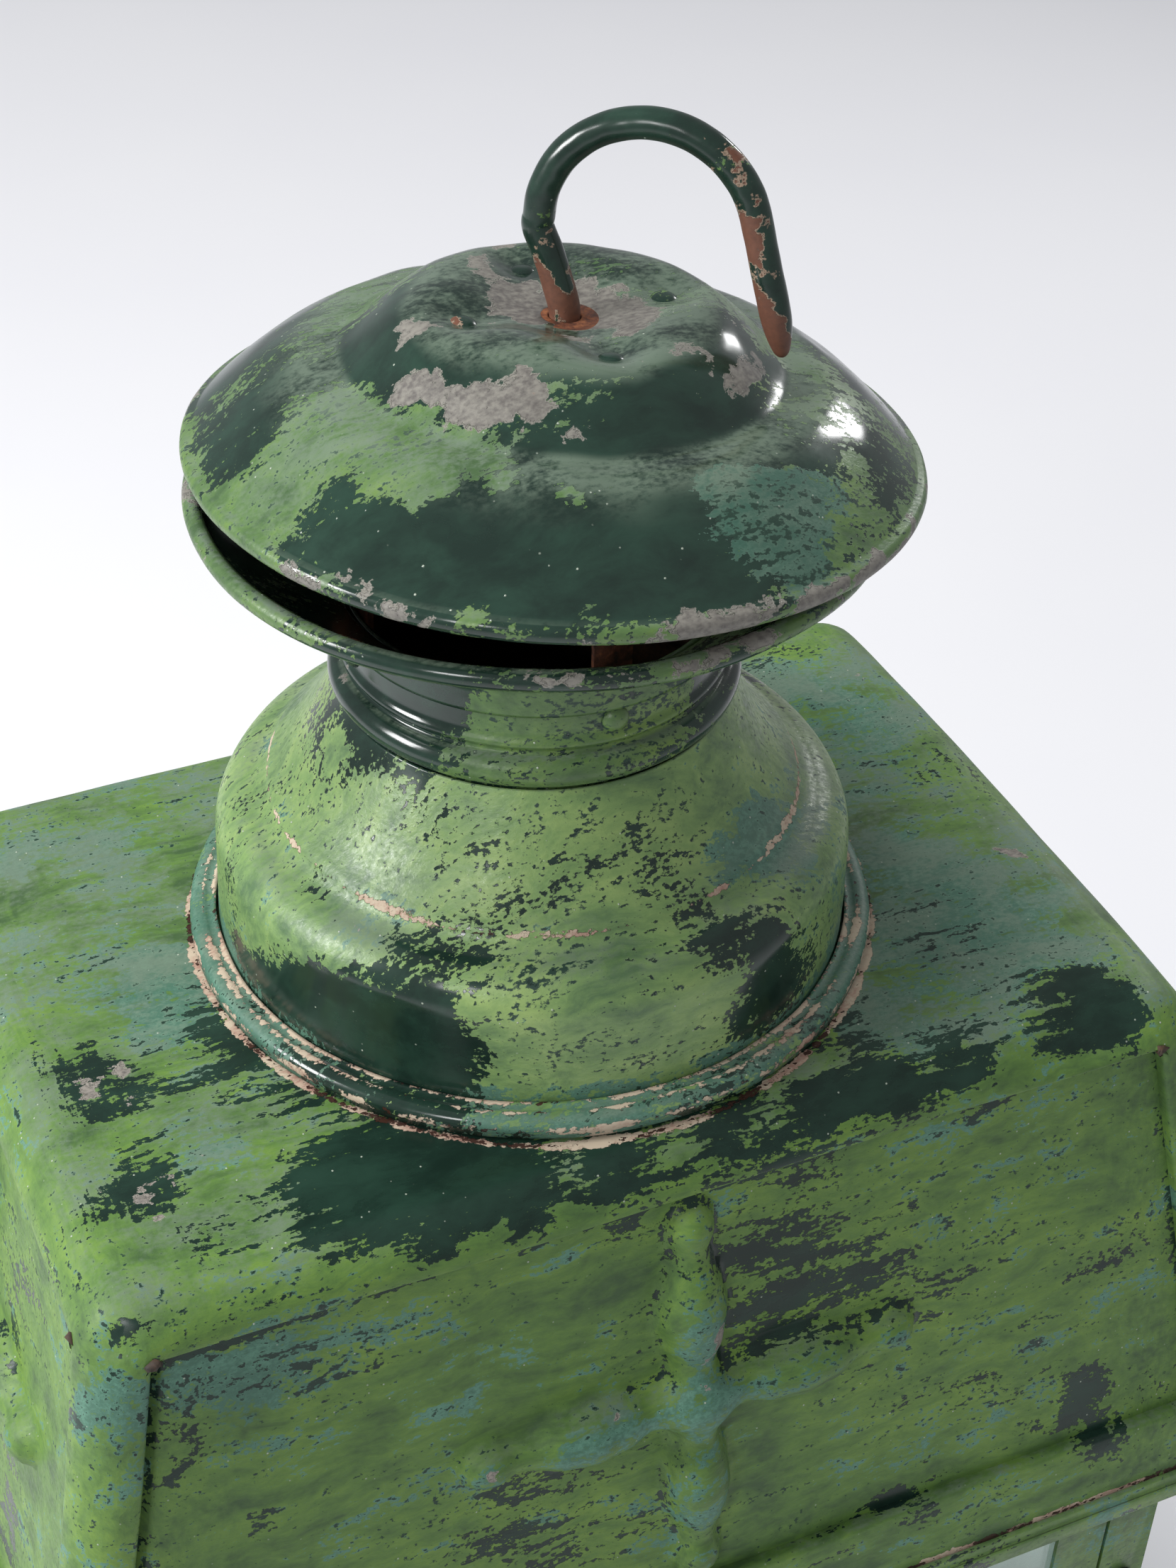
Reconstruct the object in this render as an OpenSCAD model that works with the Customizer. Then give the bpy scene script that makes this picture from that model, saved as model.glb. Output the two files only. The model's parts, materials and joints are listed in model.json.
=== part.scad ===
// Hanging candle lantern: a glazed sheet-metal body with a hinged door, a flared hood
// with a baluster cross pressed into each side, and a chimney under a hooked cap.
// Millimetres, +Z up, origin at the middle of the underside, the door faces -Y.

/* [Overall] */
// Width over the corner posts
body_w = 268; // [240:2:330]
// Depth over the corner posts
body_d = 182; // [176:2:240]
// Height of the hood's lower edge above the ground
eaves_z = 223; // [180:1:300]
// Height of the hood above its eaves band
hood_h = 137; // [112:1:150]

/* [Hood] */
// How far the hood's lower edge stands out past the posts
overhang = 12; // [8:0.5:20]
// Outward slope of the left and right walls
side_slope = 0.19; // [0.1:0.01:0.25]
// Outward slope of the front and back walls
front_slope = 0.16; // [0.1:0.01:0.25]
// Width of the border round each pressed panel
panel_border = 12; // [9:1:16]
// Length of one arm of the pressed cross
cross_arm = 53; // [35:1:53]

/* [Chimney] */
// Radius of the dome above its base ring
dome_r = 67.2; // [60:0.1:70]
// Radius of the neck tube
neck_r = 38.4; // [34:0.1:44]
// Radius of the wind saucer's rim
saucer_r = 66; // [60:0.5:72]
// Height of the saucer's rim above the hood
saucer_z = 104.8; // [100:0.1:112]
// Radius of the cap's rolled rim
cap_r = 68.8; // [66:0.1:76]
// Height of the cap's rim above the hood
cap_z = 112.4; // [112:0.1:124]
// Height of the cap's crown above its rim
crown_h = 29; // [26:0.5:36]
// Angle by which the cap has been knocked out of level
cap_tilt = 4.1; // [0:0.1:5]

/* [Hook] */
// Radius of the hook's iron rod
rod_r = 3; // [2.5:0.1:3.4]
// Radius of the hook's arch, to the middle of the rod
arch_r = 20.3; // [18:0.1:24]

/* [Body] */
// Width of each leg of a corner post
post_leg = 14; // [12:1:18]
// Height of the base pan
pan_h = 24; // [22:1:32]
// Width of the door frame's border
door_border = 14; // [12:1:20]
// Thickness of the glass
glass_t = 2.5; // [2:0.1:2.5]

/* [Candle] */
// Radius of the candle
candle_r = 11; // [9:0.5:20]
// Length of the candle
candle_h = 120; // [40:1:150]
// Radius of the drip dish
dish_r = 42; // [30:1:60]

/* [Hidden] */
$fn = 64;
sheet = 1.2;
gap = 0.3;
run_fit = 0.05;
green = "#4f7440";
dark_green = "#26402f";
rust = "#7a4a35";

sides = ["front", "right", "back", "left"];
corners = ["front_left", "front_right", "back_right", "back_left"];
levels = ["lower", "upper"];

// Hood
top_z = eaves_z + hood_h;
shoulder = 6;
wall_corner = 10;
panel_top = 12.4;
panel_foot = 19;
panel_lap = 2.5;
panel_out = -sheet - gap;
panel_lap_h = 4;
relief_sink = 3;
eaves_out = 2;
eaves_h = 8;
eaves_w = body_w / 2 + overhang;
eaves_d = body_d / 2 + overhang;
hood_top_w = 2 * (eaves_w - side_slope * hood_h);
hood_top_d = 2 * (eaves_d - front_slope * hood_h);
head_z = eaves_z - eaves_h;
head_open_w = 118;
head_open_d = 75;

// Chimney, heights above the hood's top
ring_r = dome_r + 5.8;
dome_wall_z = 24;
crease_in = 11.6;
crease_r = dome_r - crease_in;
crease_z = 37.2;
dome_top_z = 60.6;
bead_z = 64.6;
bead = 3.5;
neck_foot_z = 56;
neck_top_z = 84;
rivet_head_r = 2.8;
rivet_z = bead_z + 10;
collar_foot_z = rivet_z + rivet_head_r + 0.1;
leg_foot_z = 62;
leg_bend_z = 90;
leg_w = 8;
leg_slack = 0.4;
rim_wire_r = 1.5;

// Cap, in its own tilted frame above the rim's plane
cap_x = 3.2;
cap_y = -1.2;
lean_az = 33.7;
crown_r = 24;
hook_hole_r = rod_r + 1.5;
cap_rivet_r = 20.4;
rivet_shank = 1.4;

// Hook, in the cap's frame
hook_az = -38;
arch_u = 14.3;
arch_z = crown_h + 17;
tip_u = 41.3;
tip_z = crown_h - 2.9;
point_l = 9;
lean_leg = 15;
head_gap = 0.4;

// Body
pan_t = 1.5;
moulding_w = 6;
moulding_step = 2.5;
post_in_w = body_w / 2 - sheet;
post_in_d = body_d / 2 - sheet;
floor_z = pan_h + 2;
pane_z = floor_z + 0.2;
pane_top = head_z - 0.3;
side_pane_x = post_in_w - gap - glass_t;
back_pane_y = post_in_d - gap - glass_t;
lip_w = side_pane_x - gap;
lip_back = back_pane_y - gap;
lip_front = post_in_d - 8.8;
lip_h = 6;
lip_t = 1.2;
vent_r = 3;
vent_z = 17;
vent_pitch = 30;
floor_vents = 12;

// Door
door_gap = 1;
door_w = body_w / 2 - post_leg - door_gap;
door_foot = floor_z + 1;
door_top = head_z - 2;
door_t = 4;
door_face = -body_d / 2;
glass_lap = 7;
knob_x = door_w - door_border / 2;
knob_z = (door_foot + door_top) / 2;
hinge_x = -door_w - 0.5;
knuckle_r = 2.6;
hinge_y = door_face - knuckle_r - 0.4;
knuckle_h = 12;
pin_r = 1.2;
leaf_t = 1;
leaf_w = 12;
hinge_inset = 33;
button_x = body_w / 2 - post_leg / 2;
button_z = knob_z + 30;
button_reach = 18;
button_r = 3.5;
button_t = 1.5;
button_pin = 1.5;

// Candle
cup_h = 30;
cup_t = 1.7;
candle_gap = 0.3;
dish_t = 1;
wick_r = 0.8;
wick_out = 8;

// ---- Shared shapes ----

// Rectangle about the origin, from half sizes, with rounded corners
module round_rect(half_w, half_d, r) {
  hull() for (x = [-1, 1], y = [-1, 1])
    translate([x * (half_w - r), y * (half_d - r)]) circle(r, $fn = 32);
}

// Upright rectangular ring, from half sizes measured outside
module ring_wall(half_w, half_d, t, h) {
  difference() {
    translate([-half_w, -half_d, 0]) cube([2 * half_w, 2 * half_d, h]);
    translate([-half_w + t, -half_d + t, -1]) cube([2 * (half_w - t), 2 * (half_d - t), h + 2]);
  }
}

// Revolved sheet: an outer profile and the same profile moved in by the sheet's thickness
module spun_sheet(profile, t = sheet) {
  inner = [for (p = profile) [p[0] - t, p[1]]];
  rotate_extrude() polygon(concat(profile, [for (i = [len(inner) - 1:-1:0]) inner[i]]));
}

// Points of an arc that turns from angle a to angle b, as [radius, height] pairs
function arc(cx, cz, r, a, b, n = 8) =
  [for (i = [0:n]) [cx + r * cos(a + (b - a) * i / n), cz + r * sin(a + (b - a) * i / n)]];

// Local frame on a hood wall: X across, Y up the slope, Z out of the wall
module on_wall(side) {
  half = side % 2 == 0 ? hood_top_d / 2 : hood_top_w / 2;
  slope = side % 2 == 0 ? front_slope : side_slope;
  rotate([0, 0, 90 * side]) translate([0, -half, top_z]) rotate([90 - atan(slope), 0, 0]) children();
}

// Half width of a hood wall at a drop below the top, less the border
function wall_half(side, drop) =
  side % 2 == 0 ? hood_top_w / 2 + side_slope * drop - panel_border
                : hood_top_d / 2 + front_slope * drop - panel_border;
function wall_cos(side) = cos(atan(side % 2 == 0 ? front_slope : side_slope));

// Outline of a panel opening in the wall's own frame, grown by a lap
module panel_outline(side, lap = 0) {
  foot = hood_h - panel_foot;
  c = wall_cos(side);
  up = min(lap, panel_lap_h);
  polygon([
    [-wall_half(side, panel_top) - lap, -panel_top / c + up],
    [wall_half(side, panel_top) + lap, -panel_top / c + up],
    [wall_half(side, foot) + lap, -foot / c - up],
    [-wall_half(side, foot) - lap, -foot / c - up]
  ]);
}

// Stack of four slabs that the hood's outside or inside is drawn round
module hood_form(inset) {
  foot = inset > 0 ? 1 : 0;
  module slab(z, dw, dd) {
    translate([0, 0, z]) linear_extrude(0.01)
      round_rect(hood_top_w / 2 + dw - inset, hood_top_d / 2 + dd - inset, wall_corner - inset);
  }
  hull() {
    slab(eaves_z - foot, side_slope * (hood_h + foot), front_slope * (hood_h + foot));
    slab(top_z - panel_top * 0.7, side_slope * panel_top * 0.7, front_slope * panel_top * 0.7);
    slab(top_z - shoulder * 0.42, -shoulder * 0.18, -shoulder * 0.18);
    slab(top_z - inset - 0.01, -shoulder, -shoulder);
  }
}

// Frame of the tilted cap, at the middle of its rim
module in_cap() {
  translate([cap_x, cap_y, top_z + cap_z])
    rotate(cap_tilt, [-sin(lean_az), cos(lean_az), 0]) children();
}

// ---- Base and floor ----

module vents(depth) {
  for (i = [-3:3]) translate([i * vent_pitch, 0, vent_z])
    rotate([90, 0, 0]) cylinder(r = vent_r, h = body_d + depth, center = true);
  for (i = [-1:1]) translate([0, i * vent_pitch, vent_z])
    rotate([0, 90, 0]) cylinder(r = vent_r, h = body_w + depth, center = true);
}

module base_pan() {
  half_w = body_w / 2 + gap + pan_t;
  half_d = body_d / 2 + gap + pan_t;
  color(green) difference() {
    union() {
      translate([-half_w, -half_d, 0]) cube([2 * half_w, 2 * half_d, pan_t]);
      ring_wall(half_w, half_d, pan_t, pan_h);
    }
    vents(20);
  }
}

module base_moulding() {
  inner_w = body_w / 2 + gap + pan_t + gap;
  inner_d = body_d / 2 + gap + pan_t + gap;
  upper_w = moulding_w - moulding_step;
  color(dark_green) union() {
    ring_wall(inner_w + moulding_w, inner_d + moulding_w, moulding_w, moulding_w);
    translate([0, 0, moulding_w]) ring_wall(inner_w + upper_w, inner_d + upper_w, upper_w, 3);
  }
}

module lip_ring(z) {
  translate([0, (lip_back - lip_front) / 2, z])
    ring_wall(lip_w, (lip_back + lip_front) / 2, lip_t, lip_h);
}

module floor_plate() {
  half_w = post_in_w - gap;
  half_d = post_in_d - gap;
  color("#5a5a52") difference() {
    union() {
      translate([-half_w, -half_d, floor_z - sheet]) cube([2 * half_w, 2 * half_d, sheet]);
      translate([0, 0, pan_t]) ring_wall(half_w, half_d, sheet, floor_z - sheet - pan_t);
      lip_ring(floor_z);
    }
    vents(0);
    for (i = [0:floor_vents - 1]) rotate(i * 360 / floor_vents)
      translate([dish_r + 12, 0, floor_z - 3]) cylinder(r = vent_r, h = 6);
  }
}

module corner_post(i) {
  mx = (i == 0 || i == 3) ? -1 : 1;
  my = i < 2 ? -1 : 1;
  color(green) difference() {
    scale([mx, my, 1]) translate([body_w / 2 - post_leg, body_d / 2 - post_leg, pan_t]) difference() {
      cube([post_leg, post_leg, head_z - pan_t]);
      translate([-1, -1, -1]) cube([post_leg + 1 - sheet, post_leg + 1 - sheet, head_z + 1]);
    }
    if (i == 1) translate([button_x, door_face + 3, button_z])
      rotate([90, 0, 0]) cylinder(r = button_pin + 0.1, h = 6);
  }
}

// ---- Glazing ----

module pane_side(x_sign) {
  x = x_sign > 0 ? side_pane_x : -side_pane_x - glass_t;
  front = -post_in_d + 0.4;
  color("#cfe3df", 0.4) translate([x, front, pane_z])
    cube([glass_t, back_pane_y - 0.4 - front, pane_top - pane_z]);
}

module pane_left() {
  pane_side(-1);
}

module pane_right() {
  pane_side(1);
}

module pane_back() {
  half = post_in_w - 0.4;
  color("#cfe3df", 0.4) translate([-half, back_pane_y, pane_z])
    cube([2 * half, glass_t, pane_top - pane_z]);
}

// ---- Hood ----

module head_frame() {
  half_w = eaves_w - eaves_out - gap;
  half_d = eaves_d - eaves_out - gap;
  color(green) difference() {
    union() {
      translate([0, 0, head_z]) linear_extrude(sheet) round_rect(half_w, half_d, wall_corner - 2);
      lip_ring(head_z - lip_h);
    }
    translate([-head_open_w, -head_open_d, head_z - 1])
      cube([2 * head_open_w, 2 * head_open_d, 4]);
  }
}

module eaves_band() {
  color(dark_green) translate([0, 0, head_z]) difference() {
    union() {
      linear_extrude(eaves_h) round_rect(eaves_w + 1, eaves_d + 1, wall_corner);
      linear_extrude(eaves_h - 3) round_rect(eaves_w + eaves_out, eaves_d + eaves_out, wall_corner);
    }
    translate([0, 0, -1]) linear_extrude(eaves_h + 2)
      round_rect(eaves_w - eaves_out, eaves_d - eaves_out, wall_corner - 2);
  }
}

module hood_shell() {
  color(green) difference() {
    hood_form(0);
    hood_form(sheet);
    for (side = [0:3]) on_wall(side)
      translate([0, 0, -8]) linear_extrude(20) panel_outline(side);
    translate([0, 0, top_z - 10]) cylinder(r = dome_r - 8, h = 20);
  }
}

// One bar of the cross, lying along X: a round knob, neck, bulge and neck each side of the boss
module baluster_bar(reach) {
  k = reach / 53;
  arm = [
    [8.4, 3 * k], [5.6, 9 * k], [5.6, 11 * k], [7.4, 17 * k], [8.2, 24 * k],
    [7.4, 31 * k], [5, 38 * k], [4.6, 41 * k], [5.6, 45 * k], [5.6, 48 * k], [4, 51.5 * k], [0, 53 * k]
  ];
  other = [for (i = [len(arm) - 1:-1:0]) [arm[i][0], -arm[i][1]]];
  rotate([0, 90, 0]) rotate_extrude() polygon(concat(other, arm));
}

module hood_panel(side) {
  mid = -(panel_top + hood_h - panel_foot) / 2 / wall_cos(side);
  reach = side % 2 == 0 ? cross_arm : min(cross_arm, wall_half(side, panel_top) - 10);
  color(green) on_wall(side) {
    translate([0, 0, panel_out - sheet]) linear_extrude(sheet) panel_outline(side, panel_lap);
    intersection() {
      translate([0, mid, panel_out - relief_sink]) {
        baluster_bar(reach);
        rotate(90) baluster_bar(min(cross_arm, hood_h / 2 - panel_foot));
      }
      translate([-100, mid - 100, panel_out - 0.1]) cube([200, 200, 20]);
    }
  }
}

// ---- Chimney ----

module base_ring() {
  inner = dome_r + gap;
  color(green) translate([0, 0, top_z]) rotate_extrude()
    polygon(concat([[inner, 0], [ring_r, 0]], arc(ring_r - 3, 1.6, 3, 0, 80, 6), [[inner, 4.8]]));
}

module chimney_dome() {
  turn = crease_in - 1.2;
  cone_in = crease_r - neck_r - gap - sheet;
  profile = concat(
    [[dome_r, 0], [dome_r, 4]],
    [[dome_r - 0.4, dome_wall_z]],
    arc(dome_r - 0.4 - turn, dome_wall_z, turn, 12, 78, 8),
    [[crease_r - 0.6, crease_z]],
    [for (c = [[0.09, 0.07], [0.27, 0.2], [0.49, 0.39], [0.69, 0.62], [0.9, 0.87], [1, 1]])
      [crease_r - c[0] * cone_in, crease_z + c[1] * (dome_top_z - crease_z)]]
  );
  color(green) translate([0, 0, top_z]) spun_sheet(profile);
}

module neck_tube() {
  profile = concat(
    [[neck_r, neck_foot_z], [neck_r, bead_z - bead]],
    arc(neck_r, bead_z, bead, -90, 90, 10),
    [[neck_r, bead_z + bead + 1.2]],
    [[neck_r + 1.2, bead_z + bead + 2.4]],
    [[neck_r, bead_z + bead + 3.6]],
    [[neck_r, neck_top_z]]
  );
  inner = neck_r - sheet;
  color(dark_green) translate([0, 0, top_z]) difference() {
    rotate_extrude() polygon(concat(profile, [[inner, neck_top_z], [inner, neck_foot_z]]));
    rivet_holes();
  }
}

module rivet_holes() {
  for (side = [0:3]) rotate(90 * side - 90) translate([neck_r - 6, 0, rivet_z])
    rotate([0, 90, 0]) cylinder(r = rivet_shank + 0.1, h = 10);
}

module wind_saucer() {
  foot = neck_r + 0.1 + sheet;
  profile = [
    [foot, collar_foot_z], [foot, neck_top_z], [foot + 4, neck_top_z + 3.4],
    [foot + 12, neck_top_z + 8.6], [saucer_r - 4, saucer_z - 5], [saucer_r, saucer_z - rim_wire_r]
  ];
  color(dark_green) translate([0, 0, top_z]) spun_sheet(profile);
}

module saucer_rim_wire() {
  color(green) translate([0, 0, top_z + saucer_z]) rotate_extrude()
    translate([saucer_r, 0]) circle(rim_wire_r);
}

// Height of the crown's underside above the hood, along the radius of one leg
function crown_under(az, r) =
  cap_z + (crown_h - sheet) / cos(cap_tilt)
  - tan(cap_tilt) * ((r * cos(az) - cap_x) * cos(lean_az) + (r * sin(az) - cap_y) * sin(lean_az));

module cap_leg(side) {
  az = 90 * side - 90;
  outer = neck_r - sheet - leg_slack;
  rivet_at = cap_rivet_r + cap_x * cos(az) + cap_y * sin(az);
  tab_out = rivet_at + 4;
  tab_in = rivet_at - 5;
  lift = head_gap + 0.3;
  color("#4a4a45") translate([0, 0, top_z]) difference() {
    rotate(az) rotate([90, 0, 0]) translate([0, 0, -leg_w / 2]) linear_extrude(leg_w) polygon([
      [outer, leg_foot_z], [outer, leg_bend_z],
      [tab_out + 1, crown_under(az, tab_out) - lift],
      [tab_in, crown_under(az, tab_in) - lift],
      [tab_in, crown_under(az, tab_in) - lift - 1],
      [tab_out, crown_under(az, tab_out) - lift - 1],
      [outer - sheet, leg_bend_z - 0.4], [outer - sheet, leg_foot_z]
    ]);
    rivet_holes();
    translate([0, 0, -top_z]) in_cap() rotate(az) translate([cap_rivet_r, 0, 0])
      cylinder(r = rivet_shank + 0.1, h = crown_h + 5);
  }
}

// Rivet on its own axis: domed head above zero, shank and formed tail below
module rivet(grip) {
  rotate_extrude($fn = 32) polygon([
    [0, 1.8], [1.6, 1.5], [rivet_head_r - 0.2, 0.7], [rivet_head_r, 0],
    [rivet_shank, 0], [rivet_shank, -grip],
    [2.2, -grip], [2, -grip - 1], [0, -grip - 1]
  ]);
}

module neck_rivets() {
  color(dark_green) for (side = [0:3]) rotate(90 * side - 90)
    translate([neck_r + 0.05, 0, top_z + rivet_z]) rotate([0, 90, 0]) rivet(2 * sheet + leg_slack + 0.15);
}

// ---- Cap and hook ----

module cap() {
  run = cap_r - crown_r;
  profile = [
    [cap_r + 0.4, 2.1], [cap_r - 1.6, 4.4], [cap_r - 5.8, 8.6], [cap_r - 10.6, 12.6],
    [cap_r - 16.7, 17.4], [crown_r + 0.46 * run, crown_h - 6.8], [crown_r + 0.33 * run, crown_h - 3.8],
    [crown_r + 0.21 * run, crown_h - 1.5], [crown_r, crown_h]
  ];
  inner = [for (i = [len(profile) - 1:-1:0]) [profile[i][0] - 1.1, profile[i][1] - (i > 0 ? sheet : 0)]];
  color(dark_green) in_cap() difference() {
    rotate_extrude() polygon(concat(profile, [[0, crown_h], [0, crown_h - sheet]], inner));
    cylinder(r = hook_hole_r, h = 2 * crown_h);
    for (a = [0:90:270]) rotate(a) translate([cap_rivet_r, 0, 0])
      cylinder(r = rivet_shank + 0.1, h = 2 * crown_h);
  }
}

module cap_rim_wire() {
  color(green) in_cap() rotate_extrude() translate([cap_r, 0.5]) circle(rim_wire_r);
}

module cap_rivets() {
  color(rust) in_cap() for (a = [0:90:270]) rotate(a)
    translate([cap_rivet_r, 0, crown_h + 0.05]) rivet(sheet + 2.3);
}

// Rod between two points of the hook's own upright plane
module rod(p, q, r1 = rod_r, r2 = rod_r) {
  d = q - p;
  translate([p[0], 0, p[1]]) rotate([0, atan2(d[0], d[1]), 0]) cylinder(r1 = r1, r2 = r2, h = norm(d));
}

module hook() {
  foot = [0, crown_h - sheet - 6];
  bend = [0, crown_h + 1];
  rise = [arch_u - arch_r, arch_z];
  spring = [arch_u + arch_r * cos(lean_leg), arch_z + arch_r * sin(lean_leg)];
  tip = [tip_u, tip_z];
  taper = tip - (tip - spring) * point_l / norm(tip - spring);
  color(rust) in_cap() rotate(hook_az) {
    rod(foot, bend);
    rod(bend, rise);
    translate([arch_u, 0, arch_z]) rotate([90, 0, 0])
      rotate(lean_leg) rotate_extrude(angle = 180 - lean_leg) translate([arch_r, 0]) circle(rod_r);
    for (p = [bend, rise, spring]) translate([p[0], 0, p[1]]) sphere(rod_r * 1.03);
    rod(spring, taper);
    rod(taper, tip, rod_r, 0.5);
    translate([0, 0, foot[1] - 1.5]) cylinder(r1 = rod_r + 0.4, r2 = rod_r + 1.6, h = 2.5);
  }
}

module hook_washer() {
  color(rust) in_cap() translate([0, 0, crown_h - sheet - head_gap - 1.4]) difference() {
    cylinder(r = rod_r + 5, h = 1.4);
    translate([0, 0, -1]) cylinder(r = rod_r + run_fit, h = 4);
  }
}

// ---- Door ----

module door_frame() {
  h = door_top - door_foot;
  color(green) difference() {
    translate([-door_w, door_face, door_foot]) cube([2 * door_w, door_t, h]);
    translate([-door_w + sheet, door_face + sheet, door_foot + sheet])
      cube([2 * (door_w - sheet), door_t, h - 2 * sheet]);
    translate([-door_w + door_border, door_face - 1, door_foot + door_border])
      cube([2 * (door_w - door_border), door_t, h - 2 * door_border]);
    translate([knob_x, door_face + 3, knob_z]) rotate([90, 0, 0]) cylinder(r = 2.1, h = 6);
  }
}

module door_glass() {
  half = door_w - door_border + glass_lap - 0.4;
  foot = door_foot + door_border - glass_lap;
  color("#cfe3df", 0.4) translate([-half, door_face + sheet + gap, foot]) difference() {
    cube([2 * half, glass_t, door_top - door_foot - 2 * door_border + 2 * glass_lap]);
    translate([half + knob_x, glass_t + 1, knob_z - foot])
      rotate([90, 0, 0]) cylinder(r = 4.4, h = glass_t + 2);
  }
}

module door_clips() {
  post_x = door_w - door_border + glass_lap;
  back = door_face + sheet + gap + glass_t + gap;
  color("#5a5a52") for (x = [-1, 1], z = [0.12, 0.3, 0.7, 0.88]) scale([x, 1, 1])
    translate([post_x, 0, door_foot + z * (door_top - door_foot)]) {
      translate([0, door_face + sheet, -4]) cube([4, back - door_face - sheet, 8]);
      translate([-5, back, -4]) cube([9, 1, 8]);
    }
}

module door_knob() {
  tail = [[0, 1.2], [2, 1.2], [2, -sheet], [3.6, -sheet], [3.6, -sheet - 0.9], [0, -sheet - 0.9]];
  color("#a98a4a") translate([knob_x, door_face, knob_z]) rotate([90, 0, 0]) {
    rotate_extrude() polygon([
      [0, 0], [5, 0], [5, 0.8], [3.4, 1.4], [2.2, 2.6], [2.2, 3.6], [4, 5], [5, 7.2],
      [4.7, 9.6], [3, 11.6], [0, 12.4]
    ]);
    rotate_extrude() polygon(tail);
  }
}

function hinge_mid(level) = level == 0 ? door_foot + hinge_inset : door_top - hinge_inset;

// Knuckles of one hinge part: the post's leaf has the outer two, the door's has the middle one
module hinge_leaf(level, on_door) {
  dir = on_door ? 1 : -1;
  turns = on_door ? [0] : [-1, 1];
  h = knuckle_h - gap;
  half = 1.5 * knuckle_h;
  z = hinge_mid(level);
  near = knuckle_r + 0.5;
  color("#55584a") translate([hinge_x, 0, z]) difference() {
    union() {
      for (k = turns) translate([0, 0, k * knuckle_h - h / 2]) {
        translate([0, hinge_y, 0]) cylinder(r = knuckle_r, h = h);
        translate([dir > 0 ? 0 : -near - 1, door_face - leaf_t, 0]) cube([near + 1, leaf_t, h]);
      }
      translate([dir > 0 ? near : -near - leaf_w + 2, door_face - leaf_t, -half])
        cube([leaf_w - 2, leaf_t, 2 * half]);
    }
    translate([0, hinge_y, -half - 1]) cylinder(r = pin_r + run_fit, h = 2 * half + 2);
  }
}

module hinge_pins() {
  half = 1.5 * knuckle_h;
  color("#8a8a80") for (level = [0, 1]) translate([hinge_x, hinge_y, hinge_mid(level)]) {
    translate([0, 0, -half - 1]) cylinder(r = pin_r, h = 2 * half + 1.2);
    translate([0, 0, half]) cylinder(r1 = 2.3, r2 = 1.6, h = 1.4);
  }
}

module turn_button() {
  color(green) translate([button_x, door_face - gap, button_z]) rotate([90, 0, 0]) difference() {
    linear_extrude(button_t) union() {
      circle(button_r + 1);
      translate([-button_r, 0]) square([2 * button_r, button_reach - button_r]);
      translate([0, button_reach - button_r]) circle(button_r);
    }
    translate([0, 0, -1]) cylinder(r = button_pin + run_fit, h = button_t + 2);
  }
}

module turn_button_rivet() {
  neck = button_t + 2 * gap;
  color(rust) translate([button_x, door_face, button_z]) rotate([90, 0, 0]) rotate_extrude()
    polygon([
      [0, neck + 1.4], [2.2, neck + 1.1], [3.2, neck], [button_pin, neck], [button_pin, -sheet],
      [2.4, -sheet], [2.2, -sheet - 0.9], [0, -sheet - 0.9]
    ]);
}

// ---- Candle ----

module drip_dish() {
  color("#8c7a4c") translate([0, 0, floor_z]) rotate_extrude() polygon([
    [0, 0], [dish_r - 6, 0], [dish_r - 2, 1.4], [dish_r, 6], [dish_r - dish_t, 6],
    [dish_r - 2.8, 2.2], [dish_r - 6.3, dish_t], [0, dish_t]
  ]);
}

module candle_cup() {
  inner = candle_r + candle_gap;
  color("#8c7a4c") translate([0, 0, floor_z + dish_t]) rotate_extrude() polygon([
    [inner, 0], [inner + 8, 0], [inner + 8, 1], [inner + cup_t, 1], [inner + cup_t, cup_h - 2],
    [inner + cup_t + 1, cup_h], [inner, cup_h]
  ]);
}

module candle() {
  foot = floor_z + dish_t + 0.1;
  color("#efe6cf") translate([0, 0, foot]) difference() {
    rotate_extrude() polygon([
      [0, 0], [candle_r, 0], [candle_r, candle_h - 3], [candle_r - 3, candle_h], [0, candle_h]
    ]);
    translate([0, 0, candle_h - 6]) cylinder(r = wick_r + 0.1, h = 8);
  }
}

module wick() {
  color("#3a342c") translate([0, 0, floor_z + dish_t + 0.2 + candle_h - 6])
    cylinder(r = wick_r, h = 6 + wick_out);
}

base_pan();
base_moulding();
floor_plate();
for (i = [0:3]) corner_post(i);
pane_left();
pane_right();
pane_back();
head_frame();
eaves_band();
hood_shell();
for (i = [0:3]) hood_panel(i);
base_ring();
chimney_dome();
neck_tube();
wind_saucer();
saucer_rim_wire();
for (i = [0:3]) cap_leg(i);
neck_rivets();
cap();
cap_rim_wire();
cap_rivets();
hook();
hook_washer();
door_frame();
door_glass();
door_clips();
door_knob();
for (i = [0:1]) hinge_leaf(i, true);
for (i = [0:1]) hinge_leaf(i, false);
hinge_pins();
turn_button();
turn_button_rivet();
drip_dish();
candle_cup();
candle();
wick();
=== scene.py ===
import json
import random
from math import acos, atan2, cos, exp, hypot, pi, radians, sin, sqrt

import bmesh
import bpy
import numpy as np
from mathutils import Matrix, Vector, noise


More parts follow.
